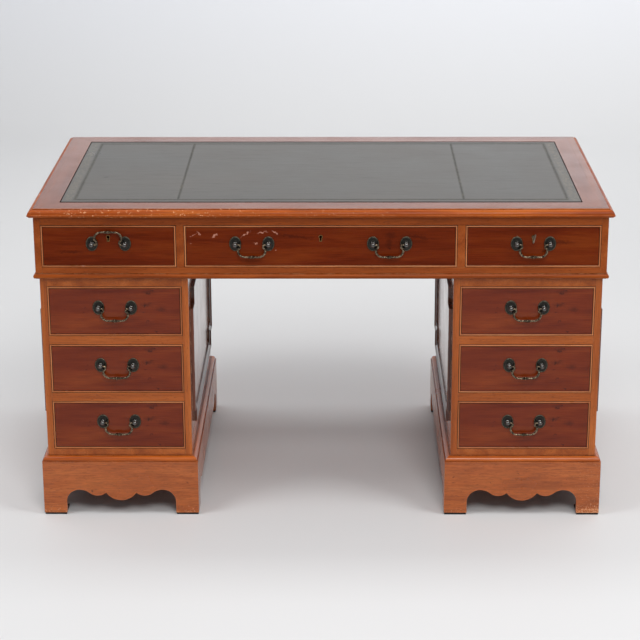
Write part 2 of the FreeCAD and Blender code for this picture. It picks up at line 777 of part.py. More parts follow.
def make_cockbead(name, half_width_, height):
    """The bead that frames a drawer front and stands proud of it."""
    body = doc.addObject("PartDesign::Body", f"{name}_cockbead")
    ring = sketch_on(body, f"{name}_bead_ring", "XZ_Plane", "cockbead_proud")
    for inset in ("drawer_gap", "(drawer_gap + cockbead_width)"):
        x = f"({half_width_} - {inset})"
        draw(ring, [(f"-{x}", inset), (x, inset), (x, f"({height} - {inset})"),
                    (f"-{x}", f"({height} - {inset})")])
    pad(body, f"{name}_bead_pad", ring, "drawer_front_thickness + cockbead_proud", back=True)
    doc.recompute()
    ring_pad = body.Tip
    nose = body.newObject("PartDesign::Chamfer", f"{name}_bead_nose")
    nose.Base = (ring_pad, faces_at(ring_pad, -value("cockbead_proud")))
    bind(nose, "Size", "cockbead_nose")
    return body


def make_drawer(name, width, height, depth, lock):
    """The solids of one drawer: front, cockbead, two grooved sides, back and bottom, and a lock if it has one."""
    half = f"({width} / 2)"
    inner = "(drawer_gap + cockbead_width)"
    core_x = f"({half} - {inner})"
    core = board(f"{name}_core", across(core_x), ("0", "drawer_front_thickness"), (inner, f"{height} - {inner}"))
    outer = f"({half} - drawer_side_gap)"
    inside = f"({outer} - drawer_side_thickness)"
    groove_x = f"({inside} + drawer_bottom_groove)"
    bottom_z = ("drawer_bottom_rise", "drawer_bottom_rise + drawer_bottom_thickness")
    bottom = board(f"{name}_bottom", across(groove_x),
                   ("drawer_front_thickness - drawer_bottom_groove", depth), bottom_z)
    pieces = [make_cockbead(name, half, height), bottom]
    front = cut(f"{name}_front", core, bottom)
    if lock:
        keyhole = f"({height} - keyhole_drop)"
        through = keyhole_shape(f"{name}_keyhole", keyhole, "-cockbead_proud", "2 * drawer_front_thickness")
        front = cut(f"{name}_pierced_front", front, through)
        pieces.append(make_lock_case(name, keyhole, height))
    pieces.append(front)
    for side, limits in both(inside, outer):
        plank = board(f"{name}_{side}_side_blank", limits, ("drawer_front_thickness", depth),
                      ("drawer_floor_gap", f"{height} - drawer_headroom"))
        pieces.append(cut(f"{name}_{side}_side", plank, bottom))
    pieces.append(board(f"{name}_back", across(inside), (f"{depth} - drawer_back_thickness", depth),
                        ("drawer_bottom_rise + drawer_bottom_thickness",
                         f"{height} - drawer_headroom - drawer_back_drop")))
    return pieces


def make_lock_case(name, keyhole, height):
    """A lock on the back of the drawer front: a case with a chamber for the key and a slot for the bolt."""
    case = board(f"{name}_lock_blank", across("lock_width / 2"),
                 ("drawer_front_thickness", "drawer_front_thickness + lock_depth"),
                 (f"{keyhole} - lock_below_key", f"{height} - drawer_gap - cockbead_width"))
    chamber = bore(f"{name}_key_chamber", "key_chamber_radius", "lock_depth - lock_cover_thickness",
                   "0", "drawer_front_thickness", keyhole, ACROSS, -90)
    slot = board(f"{name}_bolt_slot", across("bolt_width / 2 + bolt_clearance"),
                 ("drawer_front_thickness + bolt_setback - bolt_clearance",
                  "drawer_front_thickness + bolt_setback + bolt_thickness + bolt_clearance"),
                 (f"{keyhole} + key_chamber_radius", height))
    return cut(f"{name}_lock_case", case, fused(f"{name}_lock_space", [chamber, slot]))


# ---------------------------------------------------------------------------------------------------------
# Swan-neck handles: built about the middle of the pivot line, with the drawer's face at Y = post_pivot_reach
# ---------------------------------------------------------------------------------------------------------
ROSE_FACETS = 12
BALL_FACETS = 8
BAIL_FACETS = 6
BEND_STEP = 37.5


def arc_points(centre_x, centre_z, radius, begin, finish):
    """Corners along an arc at even steps, as expressions; the angles are whole degrees."""
    steps = max(1, round(abs(finish - begin) / BEND_STEP))
    points = []
    for number in range(steps + 1):
        angle = math.radians(begin + (finish - begin) * number / steps)
        points.append((f"{centre_x} + ({radius}) * {math.cos(angle):.6f}",
                       f"{centre_z} + ({radius}) * {math.sin(angle):.6f}"))
    return points


def make_rose():
    body = doc.addObject("PartDesign::Body", "rose")
    outline = sketch_on(body, "rose_outline", "XZ_Plane", "-post_pivot_reach")
    polygon(outline, "rose_width", "rose_height", ROSE_FACETS)
    pad(body, "rose_pad", outline, "rose_thickness")
    return body


def make_post():
    """A stem that ends in a faceted ball, with a socket for the bail's pin on its +X side."""
    body = doc.addObject("PartDesign::Body", "post")
    stem = sketch_on(body, "post_stem_outline", "XZ_Plane", "rose_thickness - post_pivot_reach")
    polygon(stem, "2 * post_stem_radius", "2 * post_stem_radius", BALL_FACETS)
    pad(body, "post_stem", stem, "post_pivot_reach - rose_thickness")
    ball = sketch_on(body, "post_ball_outline", "XZ_Plane")
    polygon(ball, "2 * post_ball_radius", "2 * post_ball_radius", BALL_FACETS)
    doc.recompute()
    ball_pad = pad(body, "post_ball", ball, "2 * post_ball_radius", symmetric=True)
    doc.recompute()
    bevel = body.newObject("PartDesign::Chamfer", "post_ball_bevel")
    bevel.Base = (ball_pad, faces_at(ball_pad, -value("post_ball_radius")))
    bind(bevel, "Size", "post_ball_bevel")
    doc.recompute()
    socket = sketch_on(body, "pin_socket", "YZ_Plane", "post_ball_radius")
    across_corners = f"2 * (bail_rod_radius + bail_pin_clearance) * {FLAT_TO_CORNER:.6f}"
    polygon(socket, across_corners, across_corners, ROUND_FACETS)
    doc.recompute()
    pin_bore = body.newObject("PartDesign::Pocket", "pin_bore")
    pin_bore.Profile = socket
    bind(pin_bore, "Length", "bail_pin_length + 4 * bail_pin_clearance")
    return body


def make_bail():
    """A hanging bail: pin, swan neck, shoulder, corner and a bar with turned beads, all in the plane Y = 0."""
    body = doc.addObject("PartDesign::Body", "bail")
    pin_end = "(handle_centres / 2 - post_ball_radius + bail_pin_length)"
    neck_x = "(handle_centres / 2 - neck_start)"
    turn = value("neck_return")
    out = f"{math.cos(math.radians(turn)):.6f}"
    down = f"{math.sin(math.radians(turn)):.6f}"
    shoulder_x = f"({neck_x} - (neck_radius + shoulder_radius) * {out})"
    shoulder_z = f"(-neck_radius - (neck_radius + shoulder_radius) * {down})"
    corner_radius = f"(bail_drop + {shoulder_z})"
    corner_x = f"({shoulder_x} + shoulder_radius - {corner_radius})"
    corners = [(pin_end, "0")]
    corners += arc_points(neck_x, "-neck_radius", "neck_radius", 90, 180 + turn)
    corners += arc_points(shoulder_x, shoulder_z, "shoulder_radius", turn, 0)[1:]
    corners += arc_points(corner_x, shoulder_z, corner_radius, 0, -90)[1:]
    corners.append(("0", "-bail_drop"))
    path = draw(sketch_on(body, "bail_path", "XZ_Plane"), corners, closed=False)
    section = sketch_on(body, "bail_section", "YZ_Plane", pin_end)
    polygon(section, "2 * bail_rod_radius", "2 * bail_rod_radius", BAIL_FACETS)
    doc.recompute()
    sweep = body.newObject("PartDesign::AdditivePipe", "bail_sweep")
    sweep.Profile = section
    sweep.Spine = (path, [f"Edge{number + 1}" for number in range(len(corners) - 1)])
    sweep.Transition = "Right corner"
    doc.recompute()
    ring = sketch_on(body, "bead_ring", "YZ_Plane", "bead_offset - bead_width / 2")
    bind(ring, "AttachmentOffset.Base.y", "-bail_drop")
    polygon(ring, "2 * bead_radius", "2 * bead_radius", BALL_FACETS)
    doc.recompute()
    bead = pad(body, "bead", ring, "bead_width")
    doc.recompute()
    mirror = body.newObject("PartDesign::Mirrored", "other_half")
    mirror.Originals = [sweep, bead]
    plane = next(feature for feature in body.Origin.OriginFeatures if feature.Role == "YZ_Plane")
    mirror.MirrorPlane = (plane, [""])
    body.Tip = mirror
    return body


def handle_fittings(name, rose, post):
    """Two roses with their posts, the right-hand post turned so that its socket faces the left one."""
    return [
        group(f"{name}_left_rose", [rose], x="-handle_centres / 2"),
        group(f"{name}_right_rose", [rose], x="handle_centres / 2"),
        group(f"{name}_left_post", [post], x="-handle_centres / 2"),
        group(f"{name}_right_post", [post], x="handle_centres / 2", axis=FORWARD, angle=180),
    ]


# ---------------------------------------------------------------------------------------------------------
# Lock furniture: escutcheons, the key and the bolt that it throws
# ---------------------------------------------------------------------------------------------------------
def make_escutcheon():
    """A thin oval plate round the keyhole, centred on the key's axis, let into the drawer front."""
    body = doc.addObject("PartDesign::Body", "escutcheon_blank")
    outline = sketch_on(body, "escutcheon_outline", "XZ_Plane")
    polygon(outline, "escutcheon_width", "escutcheon_height", BALL_FACETS)
    pad(body, "escutcheon_pad", outline, "escutcheon_proud")
    return cut("escutcheon", body, keyhole_shape("escutcheon_hole", "0", "-2 * escutcheon_proud", "escutcheon_proud"))


def make_bolt():
    """The bolt of a lock, drawn in, with its top just under the edge of the drawer front."""
    top = f"({frieze_opening_height} - drawer_gap - bolt_sink)"
    front = "drawer_front_thickness + bolt_setback"
    return board("bolt", across("bolt_width / 2"), (front, f"{front} + bolt_thickness"),
                 (f"{top} - bolt_length", top))


def make_key():
    """A bow of open fretwork, a round shank and a flat bit; the shank lies along Y and the front is at Y = 0."""
    body = doc.addObject("PartDesign::Body", "key_bow")
    bow = sketch_on(body, "bow_outline", "YZ_Plane")
    bow_centre = "(-key_shank_reach - key_bow_length / 2)"
    for inset in ("0", "key_bow_rim"):
        points = []
        for number in range(BALL_FACETS):
            angle = 2 * math.pi * (number + 0.5) / BALL_FACETS
            points.append((f"{bow_centre} + {math.cos(angle):.6f} * (key_bow_length / 2 - {inset})",
                           f"{math.sin(angle):.6f} * (key_bow_height / 2 - {inset})"))
        draw(bow, points)
    pad(body, "bow_pad", bow, "key_bow_thickness", symmetric=True)
    bit_front = "drawer_front_thickness + key_bit_setback"
    bit_back = f"{bit_front} + key_bit_width"
    shank_front = "-key_shank_reach - key_bow_rim"
    shank = rod("key_shank", "key_shank_radius", f"{bit_back} - ({shank_front})", "0", shank_front, "0",
                ACROSS, -90)
    bit = board("key_bit", across("key_bit_thickness / 2"), (bit_front, bit_back),
                ("-key_bit_reach", "0"))
    return fused("key", [body, shank, bit])


# ---------------------------------------------------------------------------------------------------------
# Cupboard doors, in the frame of their pedestal, hinged on the +X side
# ---------------------------------------------------------------------------------------------------------
def hinge_bottoms():
    """The lower ends of the two hinges on a door."""
    return (f"({pedestal_floor} + hinge_end_margin)",
            f"({pedestal_opening_top} - hinge_end_margin - hinge_height)")


hinge_axis_x = f"({pedestal_opening_half} - hinge_leaf - hinge_leaf_gap / 2)"
hinge_axis_y = f"({pedestal_half_depth} + hinge_barrel_radius + hinge_clearance)"


def make_door(frame):
    """A door let into the rear of a pedestal, its edge recessed for the hinge leaves."""
    x = across(f"({pedestal_opening_half} - door_gap)")
    y = (f"{pedestal_half_depth} - door_thickness", pedestal_half_depth)
    z = (f"{pedestal_floor} + door_gap", f"{pedestal_opening_top} - door_gap")
    recess_x = (f"{pedestal_opening_half} - 2 * hinge_leaf - hinge_leaf_gap", pedestal_opening_half)
    recess_y = (f"{pedestal_half_depth} - hinge_leaf_depth - hinge_clearance", f"{pedestal_half_depth} + 1")
    recesses = [board("hinge_recess", recess_x, recess_y,
                      (f"{low} - hinge_clearance", f"{low} + hinge_height + hinge_clearance"))
                for low in hinge_bottoms()]
    slab = cut("door_slab", board("door_blank", x, y, z), group("hinge_recesses", recesses))
    middle = f"({pedestal_floor} + {pedestal_opening_top}) / 2"
    moulding = group("door_moulding", [frame], y=pedestal_half_depth, z=middle, angle=90)
    return [slab, moulding]


def make_hinges():
    """Both butt hinges of one door: jamb leaves that carry the pins, and door leaves that turn on them."""
    low_third = "hinge_height / 3"
    high_third = "2 * hinge_height / 3"
    jamb_x = (f"{pedestal_opening_half} - hinge_leaf", pedestal_opening_half)
    door_x = (f"{pedestal_opening_half} - 2 * hinge_leaf - hinge_leaf_gap",
              f"{pedestal_opening_half} - hinge_leaf - hinge_leaf_gap")
    plate_y = (f"{pedestal_half_depth} - hinge_leaf_depth", hinge_axis_y)
    at_axis = (hinge_axis_x, hinge_axis_y)
    door_leaves, jamb_leaves = [], []
    for name, low in zip(("lower", "upper"), hinge_bottoms()):
        height = (low, f"{low} + hinge_height")
        middle = f"{low} + {low_third}"
        jamb_plate = cut(
            f"{name}_jamb_plate", board(f"{name}_jamb_blank", jamb_x, plate_y, height),
            bore(f"{name}_jamb_gap", "hinge_barrel_radius + hinge_clearance", low_third, *at_axis, middle))
        jamb_leaves.append(fused(f"{name}_jamb_leaf", [
            jamb_plate,
            rod(f"{name}_jamb_foot", "hinge_barrel_radius", low_third, *at_axis, low),
            rod(f"{name}_jamb_head", "hinge_barrel_radius", low_third, *at_axis, f"{low} + {high_third}"),
            rod(f"{name}_pin", "hinge_pin_radius", "hinge_height", *at_axis, low)]))
        gaps = fused(f"{name}_door_gaps", [
            bore(f"{name}_door_foot_gap", "hinge_barrel_radius + hinge_clearance",
                 f"{low_third} + hinge_clearance", *at_axis, low),
            bore(f"{name}_door_head_gap", "hinge_barrel_radius + hinge_clearance",
                 f"{low_third} + hinge_clearance", *at_axis, f"{low} + {high_third} - hinge_clearance"),
            bore(f"{name}_pin_bore", "hinge_pin_radius + hinge_pin_clearance", "hinge_height", *at_axis, low)])
        knuckle = rod(f"{name}_door_knuckle", "hinge_barrel_radius", low_third, *at_axis, middle)
        blank = fused(f"{name}_door_blank", [board(f"{name}_door_plate", door_x, plate_y, height), knuckle])
        door_leaves.append(cut(f"{name}_door_leaf", blank, gaps))
    return door_leaves, jamb_leaves


def make_knob():
    """A small turned knob near the door's free edge: a flange, a neck and a flat head."""
    x = f"-({pedestal_opening_half} - door_gap - knob_edge_margin)"
    z = f"({pedestal_floor} + {pedestal_opening_top}) / 2"
    at = {"x": x, "z": z, "axis": ACROSS, "angle": -90}
    face = pedestal_half_depth
    return fused("door_knob", [
        rod("knob_flange", "knob_flange_radius", "knob_flange_thickness", y=face, **at),
        rod("knob_neck", "knob_neck_radius", "knob_reach", y=face, **at),
        rod("knob_head", "knob_radius", "knob_head_thickness",
            y=f"{face} + knob_reach - knob_head_thickness", **at)])


# ---------------------------------------------------------------------------------------------------------
# The desk: every node by its name
# ---------------------------------------------------------------------------------------------------------
nodes = [make_top_board(), make_top_edge(), make_leather(), make_frieze_carcase(), make_base_moulding(),
         make_locating_blocks(), make_runners(), make_foot_pads(), make_panel_mouldings()]

pedestal_boards = make_pedestal_boards()
plinth_lengths = make_plinth_lengths()
for side, sign in PEDESTALS:
    nodes.append(make_pedestal_carcase(side, sign, pedestal_boards))
    nodes.append(make_plinth(side, sign, plinth_lengths))

rose, post, bail = make_rose(), make_post(), make_bail()
escutcheon, bolt = make_escutcheon(), make_bolt()


KEYED_DRAWER = "front_right_drawer"


def add_drawer(name, pieces, centre, face, floor, height, rise, handles, turn=0, lock=False, raised=()):
    """One drawer with its fittings and bails; handles gives each handle's name and its place along the drawer."""
    nodes.append(group(name, pieces, x=centre, y=face, z=floor, angle=turn))
    level = f"{height} / 2 + {rise}"
    fittings = []
    for handle, offset in handles:
        fittings.append(group(f"{name}_{handle}_fittings", handle_fittings(f"{name}_{handle}", rose, post),
                              x=offset, y="-post_pivot_reach", z=level))
        lift = value("raised_bail_angle") if handle in raised else 0
        hung = group(f"{name}_{handle}_hung", [bail], x=offset, y="-post_pivot_reach", z=level,
                     axis=ACROSS, angle=-lift)
        suffix = f"{handle}_bail" if len(handles) > 1 else "bail"
        nodes.append(group(f"{name}_{suffix}", [hung], x=centre, y=face, z=floor, angle=turn))
    if lock:
        fittings.append(group(f"{name}_escutcheon", [escutcheon], z=f"{height} - keyhole_drop"))
    if lock and name != KEYED_DRAWER:
        fittings.append(bolt)
    nodes.append(group(f"{name}_fittings", fittings, x=centre, y=face, z=floor, angle=turn))


single = (("only", "0"),)
pair = (("left", "-wide_drawer_handle_offset"), ("right", "wide_drawer_handle_offset"))
locked_side = make_drawer("locked_side_drawer", side_opening_width, frieze_opening_height,
                          frieze_drawer_depth, lock=True)
locked_wide = make_drawer("locked_wide_drawer", wide_opening_width, frieze_opening_height,
                          frieze_drawer_depth, lock=True)
plain_side = make_drawer("plain_side_drawer", side_opening_width, frieze_opening_height,
                         frieze_drawer_depth, lock=False)
plain_wide = make_drawer("plain_wide_drawer", wide_opening_width, frieze_opening_height,
                         frieze_drawer_depth, lock=False)
for end, face, turn, lock, side_pieces, wide_pieces in (
        ("front", f"-{frieze_half_depth}", 0, True, locked_side, locked_wide),
        ("rear", frieze_half_depth, 180, False, plain_side, plain_wide)):
    for side, centre, pieces, handles in (("left", f"-{side_opening_centre}", side_pieces, single),
                                          ("centre", "0", wide_pieces, pair),
                                          ("right", side_opening_centre, side_pieces, single)):
        raised = ("only",) if (end, side) == ("front", "left") else ()
        add_drawer(f"{end}_{side}_drawer", pieces, centre, face, frieze_opening_bottom, frieze_opening_height,
                   "frieze_handle_rise", handles, turn, lock, raised)

pedestal_drawer = make_drawer("pedestal_drawer", f"(2 * {pedestal_opening_half})", row_height,
                              pedestal_drawer_depth, lock=False)
for side, sign in PEDESTALS:
    for row in range(int(value("drawer_rows"))):
        level = ("top", "middle", "bottom")[row] if value("drawer_rows") == 3 else f"row_{row + 1}"
        add_drawer(f"{side}_{level}_drawer", pedestal_drawer, f"{sign}{pedestal_centre}",
                   f"-{pedestal_half_depth}", row_bottom(row), row_height, "pedestal_handle_rise", single)

key_height = f"{frieze_opening_bottom} + {frieze_opening_height} - keyhole_drop"
turned_key = group("turned_key", [make_key()], axis=FORWARD, angle=value("key_tilt"))
nodes.append(group("drawer_key", [turned_key], x=side_opening_centre, y=f"-{frieze_half_depth}", z=key_height))
nodes.append(group("lock_bolt", [bolt], x=side_opening_centre, y=f"-{frieze_half_depth}",
                   z=frieze_opening_bottom))

door_frame = notched_frame("door_frame", f"{pedestal_opening_half} - door_gap - door_panel_margin",
                           f"({pedestal_opening_top} - {pedestal_floor}) / 2 - door_gap - door_panel_margin")
door_pieces = make_door(door_frame)
door_leaves, jamb_leaves = make_hinges()
door_fittings = [*door_leaves, make_knob()]


def mirrored_to_left(name, pieces):
    """The same pieces with left and right exchanged."""
    whole = group(f"{name}_right_hand", pieces)
    mirror = doc.addObject("Part::Mirroring", name)
    mirror.Source = whole
    mirror.Normal = ACROSS
    return mirror


for side, sign in PEDESTALS:
    for name, pieces in (("door", door_pieces), ("door_fittings", door_fittings)):
        hung = pieces if side == "right" else [mirrored_to_left(f"left_{name}_mirrored", pieces)]
        nodes.append(group(f"{side}_{name}", hung, x=f"{sign}{pedestal_centre}"))
nodes.append(group("door_jamb_hinges", [
    group("left_jamb_hinges", [mirrored_to_left("left_jamb_mirrored", jamb_leaves)], x=f"-{pedestal_centre}"),
    group("right_jamb_hinges", jamb_leaves, x=pedestal_centre)]))

# ---------------------------------------------------------------------------------------------------------
# Check every object of the document, then write one file for each node
# ---------------------------------------------------------------------------------------------------------
doc.recompute()
for item in doc.Objects:
    if "Invalid" in item.State or "Error" in item.State:
        raise RuntimeError(f"{item.Name} failed: {item.State}")
os.makedirs("parts", exist_ok=True)
for node in nodes:
    if node.Shape.isNull() or not node.Shape.isValid():
        raise RuntimeError(f"{node.Label} has no valid shape")
    node.Shape.exportStep(f"parts/{node.Label}.step")
print(f"{len(nodes)} nodes, {sum(len(node.Shape.Solids) for node in nodes)} solids")
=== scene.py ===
"""A partners desk dressed for the studio: polished yew veneer, a leather-lined top, aged brass handles."""

import json
import math
import random

import bmesh
import bpy
from mathutils import Matrix, Vector

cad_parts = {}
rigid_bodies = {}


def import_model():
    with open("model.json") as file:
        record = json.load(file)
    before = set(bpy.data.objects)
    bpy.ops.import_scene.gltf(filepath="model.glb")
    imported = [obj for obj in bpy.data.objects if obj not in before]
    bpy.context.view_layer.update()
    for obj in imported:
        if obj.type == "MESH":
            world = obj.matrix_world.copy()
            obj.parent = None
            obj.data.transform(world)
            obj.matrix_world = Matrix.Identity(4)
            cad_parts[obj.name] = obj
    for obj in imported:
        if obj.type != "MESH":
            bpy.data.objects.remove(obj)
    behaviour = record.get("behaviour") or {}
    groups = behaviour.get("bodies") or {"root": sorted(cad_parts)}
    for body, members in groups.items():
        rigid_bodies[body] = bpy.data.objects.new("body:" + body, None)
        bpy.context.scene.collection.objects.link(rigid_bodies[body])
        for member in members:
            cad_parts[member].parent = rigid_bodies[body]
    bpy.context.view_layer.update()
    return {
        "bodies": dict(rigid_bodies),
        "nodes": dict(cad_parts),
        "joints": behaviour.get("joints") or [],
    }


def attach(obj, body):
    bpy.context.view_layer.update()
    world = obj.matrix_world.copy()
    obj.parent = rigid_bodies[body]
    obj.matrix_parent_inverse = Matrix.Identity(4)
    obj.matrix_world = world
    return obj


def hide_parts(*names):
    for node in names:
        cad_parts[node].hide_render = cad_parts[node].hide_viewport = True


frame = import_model()
MM = 0.001
random.seed(4)

# ---------------------------------------------------------------------------------------------------------
# Camera: a long lens, a little above the top and square to the drawer side.
# ---------------------------------------------------------------------------------------------------------
CAMERA_PLACE = Vector((39.1, -4724.3, 1957.85)) * MM
CAMERA_YAW, CAMERA_PITCH, CAMERA_ROLL = (math.radians(angle) for angle in (-0.541, 18.486, -0.16))
FOCAL_LENGTH_PIXELS = 1933.85
FRAME_PIXELS = 640
ahead = Vector((math.sin(CAMERA_YAW) * math.cos(CAMERA_PITCH),
                math.cos(CAMERA_YAW) * math.cos(CAMERA_PITCH), -math.sin(CAMERA_PITCH)))
level_right = Vector((math.cos(CAMERA_YAW), -math.sin(CAMERA_YAW), 0))
level_up = level_right.cross(ahead)
right = level_right * math.cos(CAMERA_ROLL) + level_up * math.sin(CAMERA_ROLL)
up = level_up * math.cos(CAMERA_ROLL) - level_right * math.sin(CAMERA_ROLL)
camera_data = bpy.data.cameras.new("camera")
camera_data.sensor_width = 36
camera_data.lens = camera_data.sensor_width * FOCAL_LENGTH_PIXELS / FRAME_PIXELS
camera = bpy.data.objects.new("camera", camera_data)
camera.matrix_world = Matrix.Translation(CAMERA_PLACE) @ Matrix((right, up, -ahead)).transposed().to_4x4()
bpy.context.scene.collection.objects.link(camera)
bpy.context.scene.camera = camera
bpy.context.scene.view_settings.view_transform = "Standard"


# ---------------------------------------------------------------------------------------------------------
# Studio: a sweep of matt paper, a floor that curves up into a backdrop, under large soft lamps. The back of
# the sweep is clear, so that the desk can be seen from behind it too.
# ---------------------------------------------------------------------------------------------------------
def linear(hex_colour):
    """An sRGB hex colour as linear RGBA."""
    channels = [int(hex_colour[start:start + 2], 16) / 255 for start in (1, 3, 5)]
    return (*(c / 12.92 if c <= 0.04045 else ((c + 0.055) / 1.055) ** 2.4 for c in channels), 1)


def add(tree, kind, inputs=None, **settings):
    """Add a node with its settings; an input is a value or the socket that feeds it."""
    made = tree.nodes.new(kind)
    for name, setting in settings.items():
        setattr(made, name, setting)
    for socket, source in (inputs or {}).items():
        if isinstance(source, bpy.types.NodeSocket):
            tree.links.new(source, made.inputs[socket])
        else:
            made.inputs[socket].default_value = source
    return made


def new_material(name):
    """A named material with an empty node tree and its output."""
    material = bpy.data.materials.new(name)
    material.use_nodes = True
    material.node_tree.nodes.clear()
    return material, material.node_tree, material.node_tree.nodes.new("ShaderNodeOutputMaterial")


def set_stops(ramp, *stops):
    """Give a colour ramp its stops, each a place along it and a hex colour."""
    first, *between, last = stops
    for element, (place, colour) in zip(ramp.elements, (first, last)):
        element.position, element.color = place, linear(colour)
    for place, colour in between:
        ramp.elements.new(place).color = linear(colour)


def finished(name, mesh, *materials):
    """A new piece at the origin, with its materials."""
    piece = bpy.data.objects.new(name, mesh)
    for material in materials:
        mesh.materials.append(material)
    flats = piece.modifiers.new("flat_faces_shade_flat", "WEIGHTED_NORMAL")
    flats.keep_sharp = True
    flats.weight = 100
    bpy.context.scene.collection.objects.link(piece)
    return piece


FLOOR_HALF_WIDTH = 20
FLOOR_FRONT = -30
SWEEP_START = 3.6
SWEEP_RADIUS = 1.6
SWEEP_STEPS = 12
BACKDROP_TOP = 7
TONE_TOP = 4.4
sweep = bmesh.new()
profile = [(FLOOR_FRONT, 0), (SWEEP_START, 0)]
for step in range(1, SWEEP_STEPS + 1):
    turn = math.radians(90) * step / SWEEP_STEPS
    profile.append((SWEEP_START + SWEEP_RADIUS * math.sin(turn), SWEEP_RADIUS * (1 - math.cos(turn))))
profile.append((SWEEP_START + SWEEP_RADIUS, BACKDROP_TOP))
line = [sweep.verts.new((-FLOOR_HALF_WIDTH, y, z)) for y, z in profile]
edges = [sweep.edges.new(pair) for pair in zip(line, line[1:])]
run = bmesh.ops.extrude_edge_only(sweep, edges=edges)["geom"]
bmesh.ops.translate(sweep, vec=(2 * FLOOR_HALF_WIDTH, 0, 0),
                    verts=[vert for vert in run if isinstance(vert, bmesh.types.BMVert)])
bmesh.ops.recalc_face_normals(sweep, faces=sweep.faces)
if sweep.faces[0].normal.z < 0:
    bmesh.ops.reverse_faces(sweep, faces=sweep.faces)
for face in sweep.faces:
    face.smooth = True
sweep_mesh = bpy.data.meshes.new("studio_sweep")
sweep.to_mesh(sweep_mesh)
# Matt paper: a pale grey without shine up to about 2 m, painted darker above as shade, where only the polish
# mirrors it.
paper, tree, output = new_material("matt_studio_paper")
place = add(tree, "ShaderNodeTexCoord")
split = add(tree, "ShaderNodeSeparateXYZ", {0: place.outputs["Object"]})
height = add(tree, "ShaderNodeMapRange", {"Value": split.outputs["Z"], "From Min": 0.0, "From Max": TONE_TOP})
paper_tone_and_painted_shade = add(tree, "ShaderNodeValToRGB", {"Fac": height.outputs[0]})
set_stops(paper_tone_and_painted_shade.color_ramp, (0.0, "#dcdcdc"), (0.1, "#e4e5e8"), (0.46, "#e4e5e8"), (0.66, "#77787b"))
lit = add(tree, "ShaderNodeBsdfPrincipled", {"Base Color": paper_tone_and_painted_shade.outputs[0], "Roughness": 0.6,
                                             "Specular IOR Level": 0.2})
side = add(tree, "ShaderNodeNewGeometry")
clear = add(tree, "ShaderNodeBsdfTransparent")
one_way = add(tree, "ShaderNodeMixShader", {0: side.outputs["Backfacing"], 1: lit.outputs[0],
                                            2: clear.outputs[0]})
tree.links.new(one_way.outputs[0], output.inputs["Surface"])
backdrop = finished("studio_sweep", sweep_mesh, paper)

world = bpy.data.worlds.new("studio")
bpy.context.scene.world = world
world.use_nodes = True
sky = world.node_tree.nodes["Background"].inputs
sky["Color"].default_value, sky["Strength"].default_value = linear("#eef0f4"), 0.38
for name, at, aim, width, depth, power in (
        ("left_softbox", (-2.0, -1.25, 3.2), (-1.6, -0.9, 0), 1.2, 1.4, 38),
        ("right_softbox", (2.1, -1.25, 3.2), (1.7, -0.9, 0), 1.2, 1.4, 45),
        ("front_softbox", (0.6, -3.6, 3.8), (0.3, 0, 0.4), 1.6, 1.6, 84),
        ("rear_softbox", (0.0, 0.8, 3.4), (0.0, 0.7, 0), 5.0, 0.9, 42),
        ("backdrop_softbox", (1.2, 3.0, 3.2), (0.6, 4.8, 0.8), 6.0, 0.8, 76)):
    lamp_data = bpy.data.lights.new(name, "AREA")
    lamp_data.shape = "RECTANGLE"
    lamp_data.size, lamp_data.size_y, lamp_data.energy = width, depth, power
    lamp = bpy.data.objects.new(name, lamp_data)
    lamp.location = at
    lamp.rotation_euler = (Vector(aim) - Vector(at)).to_track_quat("-Z", "Y").to_euler()
    bpy.context.scene.collection.objects.link(lamp)


# ---------------------------------------------------------------------------------------------------------
# Carcases of the frieze and the pedestals: boards veneered in yew and french polished. The veneer runs up
# the sides and stiles and along the rails. Every arris is eased, and the polish is rubbed pale along it.
# ---------------------------------------------------------------------------------------------------------
GRAIN = "grain"
GRAIN_SPREAD = 40
ARRIS = 0.7 * MM
cad_nodes = frame["nodes"]


def solids_of(node):
    """The solids of a CAD node one by one, each as a merged bmesh with every flat face in one piece."""
    source = cad_nodes[node].data
    corners = [tuple(round(c, 7) for c in vert.co) for vert in source.vertices]
    open_edges, triangles = set(), []
    for polygon in source.polygons:
        ring = [corners[index] for index in polygon.vertices]
        triangles.append(ring)
        for start, end in zip(ring, ring[1:] + ring[:1]):
            if (end, start) in open_edges:
                open_edges.remove((end, start))
            else:
                open_edges.add((start, end))
        if not open_edges:
            solid = bmesh.new()
            verts = {corner: solid.verts.new(corner) for triangle in triangles for corner in triangle}
            for triangle in triangles:
                solid.faces.new([verts[corner] for corner in triangle])
            loose = [vert for vert in solid.verts if not vert.link_faces]
            bmesh.ops.delete(solid, geom=loose, context="VERTS")
            bmesh.ops.dissolve_limit(solid, angle_limit=math.radians(1), verts=solid.verts, edges=solid.edges)
            yield solid
            triangles = []


def extent(solid):
    """The lowest and highest corners of a bmesh."""
    return tuple(Vector(pick(vert.co[axis] for vert in solid.verts) for axis in range(3))
                 for pick in (min, max))


def ease(solid, width=ARRIS, angle=35):
    """Round the sharp edges of a solid."""
    sharp = [edge for edge in solid.edges
             if edge.is_manifold and edge.calc_face_angle(0) > math.radians(angle)]
    bmesh.ops.bevel(solid, geom=sharp, offset=width, affect="EDGES", segments=2, profile=0.5, material=-1,
                    clamp_overlap=True)


def paint(solid, material):
    """Give every face of a solid the same one of its piece's materials, by number."""
    for face in solid.faces:
        face.material_index = material


def own_start():
    """A place in the grain to start from, so that no two boards look alike."""
    return Vector([random.uniform(0, GRAIN_SPREAD) for _ in range(3)])


def set_grain(solid, along, start=None):
    """Store each vertex's place along the grain, across it and through it, from the board's own start."""
    layer = solid.verts.layers.float_vector.get(GRAIN) or solid.verts.layers.float_vector.new(GRAIN)
    start = start or own_start()
    for vert in solid.verts:
        vert[layer] = start + Vector([vert.co[(along + step) % 3] for step in range(3)])


